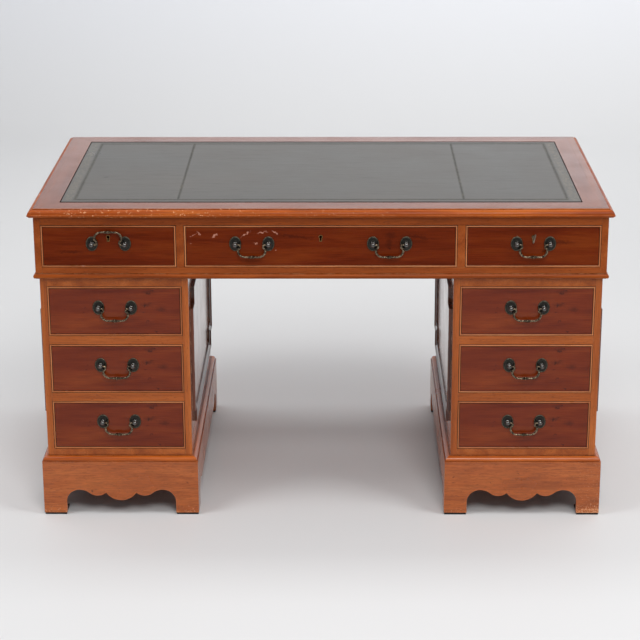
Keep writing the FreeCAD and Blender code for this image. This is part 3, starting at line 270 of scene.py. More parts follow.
def wide_side(low, high):
    """1 for a board that is a pedestal's wide upright side, 0 for any other."""
    size = high - low
    return int(size.x < 25 * MM and size.y > 300 * MM and size.z > 300 * MM)


def long_way(solid):
    """The axis that a board's grain follows: its length, or upright on a wide side."""
    low, high = extent(solid)
    return 2 if wide_side(low, high) else max(range(3), key=lambda axis: (high - low)[axis])


def joined(name, solids, smooth_angle=30):
    """One mesh out of several bmeshes, smooth except across sharp edges."""
    whole = bmesh.new()
    whole.verts.layers.float_vector.new(GRAIN)
    for solid in solids:
        part = bpy.data.meshes.new("part")
        solid.to_mesh(part)
        whole.from_mesh(part)
        solid.free()
        bpy.data.meshes.remove(part)
    for face in whole.faces:
        face.smooth = True
    for edge in whole.edges:
        edge.smooth = len(edge.link_faces) == 2 and edge.calc_face_angle(0) < math.radians(smooth_angle)
    mesh = bpy.data.meshes.new(name)
    whole.to_mesh(mesh)
    whole.free()
    return mesh


def stand_in(name, solids, body, node, *materials, smooth_angle=30):
    """A piece made of these solids, which rides on a body and stands for a CAD node."""
    piece = finished(name, joined(name, solids, smooth_angle), *materials)
    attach(piece, body)
    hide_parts(node)
    return piece


def to_metre(size):
    """The scale of a pattern: how many features of this size in mm go to a metre, to the nearest tenth."""
    return round(1000 / size, 1)


def stored_grain(tree):
    """The grain that a board's mesh carries."""
    return add(tree, "ShaderNodeAttribute", attribute_name=GRAIN).outputs["Vector"]


def own_place(tree):
    """Each point's place on the desk."""
    return add(tree, "ShaderNodeTexCoord").outputs["Object"]


def drawn_out(tree, vector, size, noise):
    """Noise whose features are drawn out along X; size is their length and their width, in mm."""
    along, across = (to_metre(length) for length in size)
    stretched = add(tree, "ShaderNodeMapping", {"Vector": vector, "Scale": (along, across, across)})
    return add(tree, "ShaderNodeTexNoise", {"Vector": stretched.outputs[0], "Scale": 1, **noise}).outputs[0]


def nearest_mark(tree, place, marks):
    """How near a point lies to the closest of some oval marks: 0 in its middle, 1 on its outline.

    Each mark is its middle, its half length and half height, and how it turns in degrees. Sizes are in mm.
    """
    nearest = None
    for x, y, z, half_length, half_height, turn in marks:
        local = add(tree, "ShaderNodeMapping", {
            "Vector": place, "Location": Vector((x, y, z)) * MM, "Rotation": (0, math.radians(turn), 0),
            "Scale": Vector((half_length, 90, half_height)) * MM}, vector_type="TEXTURE")
        away = add(tree, "ShaderNodeVectorMath", {0: local.outputs[0]}, operation="LENGTH").outputs["Value"]
        nearest = away if nearest is None else add(
            tree, "ShaderNodeMath", {0: nearest, 1: away}, operation="MINIMUM").outputs[0]
    return nearest


def on_edges(tree, radius, start, most):
    """How far a point is on an eased edge: none on a flat face, the most where the edge turns."""
    rounded = add(tree, "ShaderNodeBevel", {"Radius": radius}, samples=6)
    surface = add(tree, "ShaderNodeNewGeometry")
    facing = add(tree, "ShaderNodeVectorMath", {0: rounded.outputs[0], 1: surface.outputs["Normal"]},
                 operation="DOT_PRODUCT")
    return add(tree, "ShaderNodeMapRange", {"Value": facing.outputs["Value"], "From Min": start,
                                            "From Max": 0.9, "To Max": most}).outputs[0]


def layered(tree, colour, layers):
    """A colour under layers of others; each layer is how much of it shows and its hex colour."""
    for share, hex_colour in layers:
        colour = add(tree, "ShaderNodeMix", {"Factor": share, 6: colour, 7: linear(hex_colour)},
                     data_type="RGBA").outputs[2]
    return colour


def swerving(tree, grain, place):
    """A place that swerves by up to a few millimetres, so that marks laid out on it get uneven outlines."""
    swerve = add(tree, "ShaderNodeTexNoise", {"Vector": grain, "Scale": to_metre(6.667), "Detail": 2})
    swerve = add(tree, "ShaderNodeVectorMath", {0: swerve.outputs["Color"], 1: (0.5, 0.5, 0.5)},
                 operation="SUBTRACT")
    bent = add(tree, "ShaderNodeVectorMath", {0: swerve.outputs[0], "Scale": 14 * MM}, operation="SCALE")
    return add(tree, "ShaderNodeVectorMath", {0: bent.outputs[0], 1: place}, operation="ADD").outputs[0]


def polished_wood(name, dark, middle, pale, figure=(454.5, 38.46), streak=(62.5, 2.381), streak_depth=0.25,
                  knots=(), patches=(), scuffs=(), dashes=0.0, wear=0.5, damage=None, gloss=0.12, coat=0.0,
                  specular=0.5, grain_of=stored_grain, marks_of=None, wax_and_shade_strength=0.85, wax_and_shade_reach=5):
    """Wood under polish: banded figure, fine streaks, dark wax and painted shade in the corners, and rubbed
    edges.

    The sizes of figure and streak are in mm, along and across the grain. damage gives one layer more.
    """
    material, tree, output = new_material(name)
    grain = grain_of(tree)
    bands = drawn_out(tree, grain, figure, {"Detail": 5, "Roughness": 0.55, "Distortion": 0.6})
    banded = add(tree, "ShaderNodeValToRGB", {"Fac": bands})
    set_stops(banded.color_ramp, (0.3, dark), (0.5, middle), (0.72, pale))
    # Real pores are too fine to show, so they are drawn as streaks a millimetre or two wide.
    pores = drawn_out(tree, grain, streak, {"Detail": 3, "Roughness": 0.6})
    pore_tone = add(tree, "ShaderNodeMapRange", {
        "Value": pores, "From Min": 0.3, "From Max": 0.62, "To Min": 1 - streak_depth, "To Max": 1.06})
    veneer = add(tree, "ShaderNodeMix", {"Factor": 1.0, 6: banded.outputs[0], 7: pore_tone.outputs[0]},
                 data_type="RGBA", blend_type="MULTIPLY").outputs[2]
    layers = []
    if dashes:
        dash = drawn_out(tree, grain, (11.11, 1.613), {"Detail": 1})
        dashed = add(tree, "ShaderNodeMapRange", {"Value": dash, "From Min": 0.64, "From Max": 0.72,
                                                  "To Max": dashes})
        layers.append((dashed.outputs[0], "#4a1f0c"))
    ragged = add(tree, "ShaderNodeTexNoise", {"Vector": grain, "Scale": to_metre(3.125), "Detail": 3,
                                              "Roughness": 0.6})
    place = swerving(tree, grain, marks_of(tree) if marks_of else grain)
    for marks, colour, reach, strength, rag in (
            (patches, "#3a1206", 1.5, 0.5, 0.5), (knots, "#2e0f07", 1.6, 0.75, 0.7),
            (scuffs, "#c48a74", 1.5, 0.95, 1.7)):
        if marks:
            wobble = add(tree, "ShaderNodeMath", {
                0: ragged.outputs[0], 1: rag, 2: nearest_mark(tree, place, marks)}, operation="MULTIPLY_ADD")
            mark = add(tree, "ShaderNodeMapRange", {
                "Value": wobble.outputs[0], "From Min": reach + rag / 2 - 0.4, "From Max": rag / 2 + 0.3,
                "To Max": strength})
            layers.append((mark.outputs[0], colour))
    # Dark wax and painted shade: the colour darkens wherever ambient occlusion finds a corner close by.
    corner = add(tree, "ShaderNodeAmbientOcclusion", {"Distance": wax_and_shade_reach * MM}, samples=6)
    wax_and_painted_shade = add(tree, "ShaderNodeMapRange", {"Value": corner.outputs["AO"], "From Min": 0.3, "From Max": 0.85,
                                             "To Min": wax_and_shade_strength, "To Max": 0.0})
    rubbing = add(tree, "ShaderNodeTexNoise", {"Vector": grain, "Scale": to_metre(16.67), "Detail": 4,
                                               "Roughness": 0.7})
    rubbed = add(tree, "ShaderNodeMapRange", {"Value": rubbing.outputs[0], "From Min": 0.42,
                                              "From Max": 0.62})
    worn = add(tree, "ShaderNodeMath", {0: on_edges(tree, 1.6 * MM, 0.985, wear), 1: rubbed.outputs[0]},
               operation="MULTIPLY")
    layers += [(wax_and_painted_shade.outputs[0], "#1c0a05"), (worn.outputs[0], "#d9a071")]
    if damage:
        layers.append(damage(tree, grain))
    handled = add(tree, "ShaderNodeTexNoise", {"Vector": grain, "Scale": to_metre(111.1), "Detail": 4})
    sheen = add(tree, "ShaderNodeMapRange", {"Value": handled.outputs[0], "From Min": 0.3, "From Max": 0.7,
                                             "To Min": gloss - 0.05, "To Max": gloss + 0.1})
    relief = add(tree, "ShaderNodeBump", {"Height": pores, "Strength": 0.1, "Distance": 0.15 * MM})
    shader = add(tree, "ShaderNodeBsdfPrincipled", {
        "Base Color": layered(tree, veneer, layers), "Roughness": sheen.outputs[0],
        "Normal": relief.outputs[0], "Specular IOR Level": specular, "Coat Weight": coat,
        "Coat Roughness": 0.1})
    tree.links.new(shader.outputs[0], output.inputs["Surface"])
    return material


# Yew veneer, french polished: an orange brown with soft bands, fine dark streaks and a quiet shine.
carcase_yew = polished_wood("yew_veneer_french_polished", "#914619", "#a75521", "#bd682e", dashes=0.5,
                            specular=0.25)
# The same veneer where nothing rubs it, still under its full gloss: clear, bright reflections.
side_yew = polished_wood("yew_veneer_sides_glossy", "#8b4219", "#9f5020", "#b3612c", dashes=0.4, coat=0.4)
# The same veneer dulled by hands, with hardly any reflection, and painted deeper in colour as shade under the
# top.
frieze_rail_yew_shaded = polished_wood("yew_veneer_frieze_duller_painted_shade", "#823b14", "#96481a", "#a95826",
                                dashes=0.5, specular=0.12)


def dressed(node, body, name, materials, width=ARRIS, pick=None):
    """The node's own solids with eased arrises and grain, standing for it; pick gives each its material."""
    solids = list(solids_of(node))
    for solid in solids:
        material = pick(*extent(solid)) if pick else 0
        ease(solid, width)
        paint(solid, material)
        set_grain(solid, long_way(solid))
    return stand_in(name, solids, body, node, *materials)


dressed("frieze_carcase", "desk", "frieze_carcase_boards", (frieze_rail_yew_shaded,))
for node in ("left_pedestal_carcase", "right_pedestal_carcase"):
    boards = dressed(node, "desk", f"{node}_boards", (carcase_yew, side_yew), pick=wide_side)
    # The front and back edges of the wide sides are the stiles, and hands dull them like the rails.
    for face in boards.data.polygons:
        if abs(face.normal.y) > 0.9:
            face.material_index = 0

# ---------------------------------------------------------------------------------------------------------
# Writing top: a board with a veneered border, mitred at its corners, round a recess for the leather. It is
# polished hard and even, so that it mirrors the room at a low angle.
# ---------------------------------------------------------------------------------------------------------
LEATHER_HALF = (617 * MM, 312 * MM)


def border_grain(tree):
    """Grain along the front and back of the border, and turned through a mitre along its ends."""
    place = add(tree, "ShaderNodeTexCoord").outputs["Object"]
    split = add(tree, "ShaderNodeSeparateXYZ", {0: place})
    beyond = []
    for axis, half in zip("XY", LEATHER_HALF):
        size = add(tree, "ShaderNodeMath", {0: split.outputs[axis]}, operation="ABSOLUTE")
        beyond.append(add(tree, "ShaderNodeMath", {0: size.outputs[0], 1: half}, operation="SUBTRACT"))
    at_end = add(tree, "ShaderNodeMath", {0: beyond[0].outputs[0], 1: beyond[1].outputs[0]},
                 operation="GREATER_THAN")
    turned = add(tree, "ShaderNodeCombineXYZ", {0: split.outputs["Y"], 1: split.outputs["X"],
                                                2: split.outputs["Z"]})
    return add(tree, "ShaderNodeMix", {"Factor": at_end.outputs[0], 4: place, 5: turned.outputs[0]},
               data_type="VECTOR").outputs[1]


# Yew veneer polished hard: a darker, even brown that turns pale and mirror-like at a low angle.
border_yew = polished_wood("yew_veneer_top_hard_polished", "#6b2e10", "#7f3e1b", "#8e4823", gloss=0.16,
                           coat=0.4, specular=0.9, wear=0.2, grain_of=border_grain)
dressed("top_board", "desk", "top_board_border", (border_yew,), 0.4 * MM)

# ---------------------------------------------------------------------------------------------------------
# Moulded edge of the top: four lengths of solid yew, mitred at the corners, worked with a small step and a
# broad ovolo down to a thin nose. It has the reddest polish, and it is chipped where chairs and hands rub it.
# ---------------------------------------------------------------------------------------------------------
CHIPPED_MIDDLE, CHIPPED_REACH = -400 * MM, 220 * MM


def arc(centre, radius, begin, finish, steps):
    """Points along an arc, its angles in degrees."""
    angles = (math.radians(begin + (finish - begin) * step / steps) for step in range(steps + 1))
    return [(centre[0] + radius * math.cos(angle), centre[1] + radius * math.sin(angle)) for angle in angles]


def mitred_lengths(outline, profile, place=Matrix(), material=0):
    """Lengths of a moulding mitred round a square-cornered outline that runs anticlockwise in the XY plane.

    Each point of the profile is a distance in from the outline and a height. Sizes are in mm, and place is in
    metres.
    """
    count = len(outline)
    corners = [Vector((*point, 0)) for point in outline]
    ways = [(corners[(step + 1) % count] - corners[step]).normalized() for step in range(count)]
    inward = [Vector((-way.y, way.x, 0)) for way in ways]
    for number in range(count):
        following = (number + 1) % count
        length = bmesh.new()
        layer = length.verts.layers.float_vector.new(GRAIN)
        start = own_start()
        ends = []
        for corner, other in ((corners[number], inward[number - 1]), (corners[following], inward[following])):
            end = []
            for inset, height in profile:
                at = corner + (inward[number] + other) * inset + Vector((0, 0, height))
                vert = length.verts.new(at * MM)
                vert[layer] = start + Vector((at.dot(ways[number]), inset, height)) * MM
                end.append(vert)
            ends.append(end)
        near, far = ends
        for index in range(len(profile)):
            length.faces.new((near[index - 1], near[index], far[index], far[index - 1]))
        length.faces.new(near)
        length.faces.new(far[::-1])
        bmesh.ops.recalc_face_normals(length, faces=length.faces)
        bmesh.ops.transform(length, matrix=place, verts=length.verts)
        paint(length, material)
        yield length


def rectangle(half_x, half_y, centre=(0, 0)):
    """Corners of a rectangle, anticlockwise."""
    x, y = centre
    return [(x + across * half_x, y + along * half_y)
            for across, along in ((-1, -1), (1, -1), (1, 1), (-1, 1))]


def edge_chips(tree, grain):
    """Pale chips in the polish: thick where a chair's arm hits, and in stretches along the rest."""
    chipping = add(tree, "ShaderNodeTexNoise", {"Vector": grain, "Scale": to_metre(6.25), "Detail": 3,
                                                "Roughness": 0.7})
    stretches = add(tree, "ShaderNodeTexNoise", {"Vector": grain, "Scale": to_metre(166.7), "Detail": 2})
    chip = add(tree, "ShaderNodeMapRange", {"Value": chipping.outputs[0], "From Min": 0.6, "From Max": 0.67,
                                            "To Max": 0.9})
    stretch = add(tree, "ShaderNodeMapRange", {"Value": stretches.outputs[0], "From Min": 0.5,
                                               "From Max": 0.7, "To Max": 0.3})
    split = add(tree, "ShaderNodeSeparateXYZ", {0: own_place(tree)})
    off = add(tree, "ShaderNodeMath", {0: split.outputs["X"], 1: CHIPPED_MIDDLE}, operation="SUBTRACT")
    off = add(tree, "ShaderNodeMath", {0: off.outputs[0]}, operation="ABSOLUTE")
    near = add(tree, "ShaderNodeMapRange", {"Value": off.outputs[0], "From Min": CHIPPED_REACH * 1.4,
                                            "From Max": CHIPPED_REACH * 0.7})
    where = add(tree, "ShaderNodeMath", {0: stretch.outputs[0], 1: near.outputs[0]}, operation="MAXIMUM")
    chipped = add(tree, "ShaderNodeMath", {0: chip.outputs[0], 1: where.outputs[0]}, operation="MULTIPLY")
    return chipped.outputs[0], "#dda67c"


edge_profile = [(30, 755), (30, 775), (13.4, 775), (12.8, 774.7), (12.6, 774), (12.6, 772.6)]
edge_profile += [(-out, height) for out, height in arc((-12.9, 761.4), 11.6, 82, 4, 12)]
edge_profile += [(0.5, 761.6), (0, 760.9), (0, 760.1), (0.6, 759.2), (5, 755)]
# Solid yew under red polish: the warmest colour of the desk, satin and not mirror-like, with pale chips.
edge_yew = polished_wood("yew_solid_moulding_red_polish", "#86360b", "#a04a14", "#b8601f",
                         figure=(333.3, 16.67), damage=edge_chips, gloss=0.3, specular=0.16)
DESK_OUTLINE = rectangle(686, 381)
edge_lengths = list(mitred_lengths(DESK_OUTLINE, edge_profile))
for length in edge_lengths:
    for face in length.faces:
        veneered = face.normal.z > 0.99 and face.calc_center_median().z > 774.9 * MM
        face.material_index = 1 if veneered else 0
stand_in("top_edge_lengths", edge_lengths, "desk", "top_edge_moulding", edge_yew, border_yew)

# ---------------------------------------------------------------------------------------------------------
# Writing leather: three skins of dark green skiver laid in the recess, with a band of tooling round the edge
# and a tooled line over each seam. The skiver is creased along the desk and dulled with wax.
# ---------------------------------------------------------------------------------------------------------
SEAM = 339 * MM
TOOLED_LINE = (584 * MM, 286 * MM)
LEATHER_STAINS = [(-536, -775, -71, 4.5, 4, 0), (-531, -775, -68, 3, 5, 0)]


def skiver():
    """Thin sheepskin: soft pebble and long creases, blind and gilt tooling worn nearly off."""
    material, tree, output = new_material("skiver_leather_green_tooled")
    place = own_place(tree)
    folded = add(tree, "ShaderNodeVectorMath", {0: place}, operation="ABSOLUTE")
    beyond = []
    # Distances count for less towards the front and back, so the lines are wider there than at the ends.
    for half, weight in ((TOOLED_LINE, 0.6), (LEATHER_HALF, 0.35)):
        past = add(tree, "ShaderNodeVectorMath", {0: folded.outputs[0], 1: (*half, 0)}, operation="SUBTRACT")
        past = add(tree, "ShaderNodeVectorMath", {0: past.outputs[0], 1: (1, weight, 0)},
                   operation="MULTIPLY")
        past = add(tree, "ShaderNodeSeparateXYZ", {0: past.outputs[0]})
        beyond.append(add(tree, "ShaderNodeMath", {0: past.outputs["X"], 1: past.outputs["Y"]},
                          operation="MAXIMUM").outputs[0])
    from_frame, from_edge = beyond
    across = add(tree, "ShaderNodeSeparateXYZ", {0: folded.outputs[0]}).outputs["X"]
    from_seam = add(tree, "ShaderNodeMath", {0: across, 1: SEAM}, operation="SUBTRACT").outputs[0]
    wobble = add(tree, "ShaderNodeTexNoise", {"Vector": place, "Scale": to_metre(7.692), "Detail": 3})
    ragged = []
    for distance, wander in ((from_frame, 4 * MM), (from_seam, 3 * MM)):
        size = add(tree, "ShaderNodeMath", {0: distance}, operation="ABSOLUTE")
        ragged.append(add(tree, "ShaderNodeMath", {0: wobble.outputs[0], 1: wander, 2: size.outputs[0]},
                          operation="MULTIPLY_ADD").outputs[0])
    # The stamps, the specks of gilt and the pebble of the skin are drawn coarser than real ones, to show.
    stamps = add(tree, "ShaderNodeTexVoronoi", {"Vector": place, "Scale": to_metre(5.263)})
    specks = add(tree, "ShaderNodeTexNoise", {"Vector": place, "Scale": to_metre(2.381), "Detail": 2})
    creases = drawn_out(tree, place, (111.1, 10.53), {"Detail": 4, "Roughness": 0.55, "Distortion": 1.4})
    clouds = add(tree, "ShaderNodeTexNoise", {"Vector": place, "Scale": to_metre(250), "Detail": 5,
                                              "Roughness": 0.6}).outputs[0]
    pebble = add(tree, "ShaderNodeTexVoronoi", {"Vector": place, "Scale": to_metre(1.4286)})
    level = add(tree, "ShaderNodeMapping", {"Vector": place, "Rotation": (math.radians(90), 0, 0)})
    stains = nearest_mark(tree, level.outputs[0], LEATHER_STAINS)
    amount = {}
    for name, value, low, high, least, most in (
            ("inside frame", from_frame, 1 * MM, -1 * MM, 0, 1),
            ("outside frame", from_frame, 5 * MM, 9 * MM, 0, 1),
            ("inside edge", from_edge, -4 * MM, -7 * MM, 0, 1),
            # The groove between the skins and the border is painted near-black as its shade.
            ("gap", from_edge, -3.6 * MM, -2 * MM, 0, 1),
            ("frame line", ragged[0], 7.5 * MM, 2.5 * MM, 0, 0.7),
            ("seam line", ragged[1], 6 * MM, 2 * MM, 0, 0.8),
            ("stamps", stamps.outputs["Distance"], 0.5, 0.2, 0, 0.4),
            ("flecks", specks.outputs[0], 0.6, 0.68, 0, 0.9),
            ("creases", creases, 0.56, 0.72, 0, 0.28),
            ("stains", stains, 1.3, 0.6, 0, 0.85),
            ("shine", creases, 0.4, 0.7, 1.45, 1.15)):
        amount[name] = add(tree, "ShaderNodeMapRange", {"Value": value, "From Min": low, "From Max": high,
                                                        "To Min": least, "To Max": most}).outputs[0]
    amount.update({"crease height": creases, "pebble": pebble.outputs["Distance"], "clouds": clouds})
    for name, operation, first, second in (
            ("seam line", "MULTIPLY", "seam line", "inside frame"),
            ("sunk", "MAXIMUM", "frame line", "seam line"),
            ("band", "MULTIPLY", "outside frame", "inside edge"),
            ("band", "MULTIPLY", "band", "stamps"),
            ("gilt line", "MULTIPLY", "sunk", "flecks"),
            ("gilt", "MAXIMUM", "band", "gilt line"),
            ("dark line", "MULTIPLY", "sunk", 0.9),
            ("dull line", "MULTIPLY", "sunk", 0.5),
            ("painted gap shade", "MULTIPLY", "gap", 0.95),
            ("matt", "MAXIMUM", "gap", "dull line"),
            ("polished", "SUBTRACT", 1.0, "matt"),
            ("polish", "MULTIPLY", "shine", "polished"),
            ("dullness", "ADD", "clouds", "dull line"),
            ("crease height", "MULTIPLY", "crease height", 1.6),
            ("hollows", "ADD", "sunk", "crease height"),
            ("pebble", "MULTIPLY", "pebble", 0.1),
            ("height", "SUBTRACT", "pebble", "hollows")):
        terms = {0: amount.get(first, first), 1: amount.get(second, second)}
        amount[name] = add(tree, "ShaderNodeMath", terms, operation=operation).outputs[0]
    tanned = add(tree, "ShaderNodeValToRGB", {"Fac": clouds})
    set_stops(tanned.color_ramp, (0.3, "#484640"), (0.7, "#5f5b56"))
    # Painted shade darkens the creases and the groove round the edge; the tooled lines are dark from the
    # tool.
    leather = layered(tree, tanned.outputs[0], (
        (amount["creases"], "#24231f"), (amount["dark line"], "#171a15"), (amount["gilt"], "#b3a284"),
        (amount["stains"], "#191614"), (amount["painted gap shade"], "#1a0e09")))
    relief = add(tree, "ShaderNodeBump", {"Height": amount["height"], "Strength": 0.45, "Distance": 0.4 * MM})
    dull = add(tree, "ShaderNodeMapRange", {"Value": amount["dullness"], "From Min": 0.3, "From Max": 0.9,
                                            "To Min": 0.27, "To Max": 0.5})
    shader = add(tree, "ShaderNodeBsdfPrincipled", {
        "Base Color": leather, "Roughness": dull.outputs[0], "Normal": relief.outputs[0],
        "Specular IOR Level": amount["polish"]})
    tree.links.new(shader.outputs[0], output.inputs["Surface"])
    return material


# Waxed skiver: a grey green, cloudy and finely pebbled, with a low sheen and specks of gilt in its tooling.
dressed("writing_leather", "desk", "leather_skins", (skiver(),), 0.5 * MM)

# ---------------------------------------------------------------------------------------------------------
# Bead round the foot of the frieze: four lengths of solid yew with a half-round face, mitred at the corners
# and glued on. It has the same red polish as the edge of the top.
# ---------------------------------------------------------------------------------------------------------
bead_profile = [(8, 604), (8, 617), (0, 617), (0, 615.6)]
bead_profile += [(-out, height) for out, height in arc((-1.6, 610.3), 6.6, 48, -48, 10)]
bead_profile += [(0, 604.8), (0, 604)]
FRIEZE_OUTLINE = rectangle(673, 368)
# Solid yew under red polish that hands don't reach: darker than the edge of the top, and as satin.
bead_yew = polished_wood("yew_solid_bead_red_polish", "#743009", "#93430f", "#ab5618", figure=(333.3, 16.67),
                         gloss=0.34, specular=0.16)
stand_in("frieze_bead_lengths", mitred_lengths(FRIEZE_OUTLINE, bead_profile), "desk", "frieze_base_moulding",
         bead_yew)

# ---------------------------------------------------------------------------------------------------------
# Bracket plinths: four mitred boards to each pedestal, sawn along the bottom into feet, arches and lobes,
# with an ovolo and a fillet along the top and blocks glued inside the corners. Coarser, browner wood with
# open pores, knocked pale at the feet.
# ---------------------------------------------------------------------------------------------------------
PEDESTAL_CENTRE = 489.75
PLINTH_HALF = (189.75, 374.5)
PLINTH_TOP = 139
BOARD_THICKNESS = 14
FOOT_BOTTOM = 5
FOOT_LENGTH = 56
LARGEST_BLOCK = 60 * MM


def bow(start, end, radius, side, steps=10):
    """Points after start up to end along an arc of that radius, bulging up for side 1 or down for -1."""
    (x0, z0), (x1, z1) = start, end
    half_chord = math.hypot(x1 - x0, z1 - z0) / 2
    rise = math.sqrt(radius ** 2 - half_chord ** 2)
    normal = Vector((-(z1 - z0), x1 - x0)) / (2 * half_chord)
    if normal.y < 0:
        normal = -normal
    centre = Vector(((x0 + x1) / 2, (z0 + z1) / 2)) - normal * rise * side
    begin = math.atan2(z0 - centre.y, x0 - centre.x)
    angle = math.remainder(math.atan2(z1 - centre.y, x1 - centre.x) - begin, 2 * math.pi)
    return arc(centre, radius, math.degrees(begin), math.degrees(begin + angle), steps)[1:]


def sawn_edge(half_length, lobed):
    """The right half of a plinth board's lower edge, from the inside of the foot to the middle."""
    foot = half_length - FOOT_LENGTH
    line = [(foot, FOOT_BOTTOM), (foot, 32)]
    line += bow(line[-1], (foot - 32, 65.5), 32.03, 1)
    line += bow(line[-1], (foot - 55, 57.5), 37.06, 1, 6)
    if lobed:
        line += bow(line[-1], (37, 57), 32.07, -1)
        line += bow(line[-1], (-37, 57), 44.98, -1, 20)[:10]
    else:
        line += bow(line[-1], (foot - 75, 50), 30.4, -1, 6)
    return line


def plinth_board(half_along, half_out, quarter_turns, lobed, centre):
    """One board of a plinth, mitred at both ends."""
    right_half = sawn_edge(half_along, lobed)
    bottom = right_half + [(-x, z) for x, z in reversed(right_half) if x > 0.01]
    outline = [(half_along, FOOT_BOTTOM)] + bottom + [(-half_along, FOOT_BOTTOM), (-half_along, PLINTH_TOP),
                                                      (half_along, PLINTH_TOP)]
    solid = bmesh.new()
    face = solid.faces.new([solid.verts.new((x, -half_out, z)) for x, z in outline])
    run = bmesh.ops.extrude_face_region(solid, geom=[face])["geom"]
    for vert in (item for item in run if isinstance(item, bmesh.types.BMVert)):
        vert.co.y += BOARD_THICKNESS
        if abs(vert.co.x) > half_along - 0.01:
            vert.co.x -= math.copysign(BOARD_THICKNESS, vert.co.x)
    bmesh.ops.recalc_face_normals(solid, faces=solid.faces)
    ease(solid, 0.8)
    for face in solid.faces:
        # The inner faces take the near-black painted shade.
        face.material_index = 2 if face.normal.y > 0.9 else 0
    set_grain(solid, 0)
    layer = solid.verts.layers.float_vector[GRAIN]
    for vert in solid.verts:
        vert[layer] *= MM
    turn = Matrix.Rotation(math.radians(90 * quarter_turns), 4, "Z")
    bmesh.ops.transform(solid, matrix=Matrix.Translation((centre * MM, 0, 0)) @ turn @ Matrix.Scale(MM, 4),
                        verts=solid.verts)
    return solid


def kicked_feet(tree, grain):
    """Bare wood where shoes have knocked the polish off: low on the feet, most of all at the right."""
    knocks = add(tree, "ShaderNodeTexNoise", {"Vector": grain, "Scale": to_metre(4.762), "Detail": 4,
                                              "Roughness": 0.75}).outputs[0]
    split = add(tree, "ShaderNodeSeparateXYZ", {0: own_place(tree)})
    for axis, low, high, least, most in (("Z", 4 * MM, 34 * MM, 0.07, -0.12),
                                         ("X", 550 * MM, 660 * MM, 0.0, 0.12)):
        lift = add(tree, "ShaderNodeMapRange", {"Value": split.outputs[axis], "From Min": low,
                                                "From Max": high, "To Min": least, "To Max": most})
        knocks = add(tree, "ShaderNodeMath", {0: knocks, 1: lift.outputs[0]}, operation="ADD").outputs[0]
    bare = add(tree, "ShaderNodeMapRange", {"Value": knocks, "From Min": 0.58, "From Max": 0.7,
                                            "To Max": 0.85})
    return bare.outputs[0], "#dc9a6c"


plinth_profile = [(14, 139), (14, 152), (12, 152), (12, 150.8)]
plinth_profile += [(-out, height) for out, height in arc((-12.2, 141.2), 9.7, 84, 4, 10)]
plinth_profile += [(2.6, 141.4), (2.6, 139.9), (0, 139.9), (0, 139)]
PLINTH_KNOTS = [(413, -374, 85, 3, 2.4, 20), (480, -374, 109, 3, 1.5, 0), (321, -374, 99, 4, 1.2, 0),
                (597, -374, 93, 2, 2, 0), (-328, -374, 85, 3, 1.2, 0), (-560, -374, 62, 4, 1.2, 0)]
# Solid yew, thinly polished: a paler, coarser brown with open pores, small knots and bare feet.
plinth_yew = polished_wood("yew_solid_plinth_polished", "#98491a", "#ae5822", "#bd662c", figure=(333.3, 25),
                           streak=(33.33, 3.333), streak_depth=0.3, dashes=0.45, wear=0.9, damage=kicked_feet,
                           gloss=0.2, marks_of=own_place, knots=PLINTH_KNOTS)
# Solid yew moulding: a clear orange, darkened along its quirks by wax and by painted shade.
plinth_bead_yew = polished_wood("yew_solid_plinth_moulding_orange", "#96430f", "#b05417", "#c46522",
                                figure=(333.3, 16.67), gloss=0.2, specular=0.4, wear=0.2, wax_and_shade_strength=1.0,
                                wax_and_shade_reach=9)
# Sawn yew inside the plinth: a dead, near-black brown, painted shade that keeps the underside of the
# pedestals dark.
plinth_inside_painted_shade = polished_wood("yew_sawn_inside_painted_shade_black", "#120c08", "#1c120c", "#281b12",
                              figure=(333.3, 25), wear=0.1, gloss=0.6, specular=0.1)
for side, sign in (("left", -1), ("right", 1)):
    centre = sign * PEDESTAL_CENTRE
    boards = []
    for turn in range(4):
        lobed = turn % 2 == 0
        boards.append(plinth_board(*(PLINTH_HALF if lobed else PLINTH_HALF[::-1]), turn, lobed, centre))
    mouldings = list(mitred_lengths(rectangle(*PLINTH_HALF, (centre, 0)), plinth_profile, material=1))
    blocks = []
    for solid in solids_of(f"{side}_plinth"):
        low, high = extent(solid)
        if max((high - low).xy) < LARGEST_BLOCK:
            set_grain(solid, 2)
            # The corner blocks inside take the near-black painted shade too.
            paint(solid, 2)
            blocks.append(solid)
    stand_in(f"{side}_bracket_plinth", boards + mouldings + blocks, "desk", f"{side}_plinth",
             plinth_yew, plinth_bead_yew, plinth_inside_painted_shade)

# ---------------------------------------------------------------------------------------------------------
# Foot pads: squares of black felt, glued under the feet so that the desk slides without scratching a floor.
# ---------------------------------------------------------------------------------------------------------
# Pressed felt: black with a little grey fluff and no shine at all, its fibres drawn coarse enough to show.
felt, tree, output = new_material("felt_black_pressed")
fibres = add(tree, "ShaderNodeTexNoise", {"Vector": own_place(tree), "Scale": to_metre(1.1111), "Detail": 4,
                                          "Roughness": 0.8}).outputs[0]
fluff = add(tree, "ShaderNodeValToRGB", {"Fac": fibres})
set_stops(fluff.color_ramp, (0, "#0b0a0a"), (1, "#2a2625"))
nap = add(tree, "ShaderNodeBump", {"Height": fibres, "Strength": 0.6, "Distance": 0.3 * MM})
shader = add(tree, "ShaderNodeBsdfPrincipled", {"Base Color": fluff.outputs[0], "Roughness": 0.95,
                                                "Normal": nap.outputs[0]})
tree.links.new(shader.outputs[0], output.inputs["Surface"])
dressed("foot_pads", "desk", "felt_pads", (felt,), 0.8 * MM)

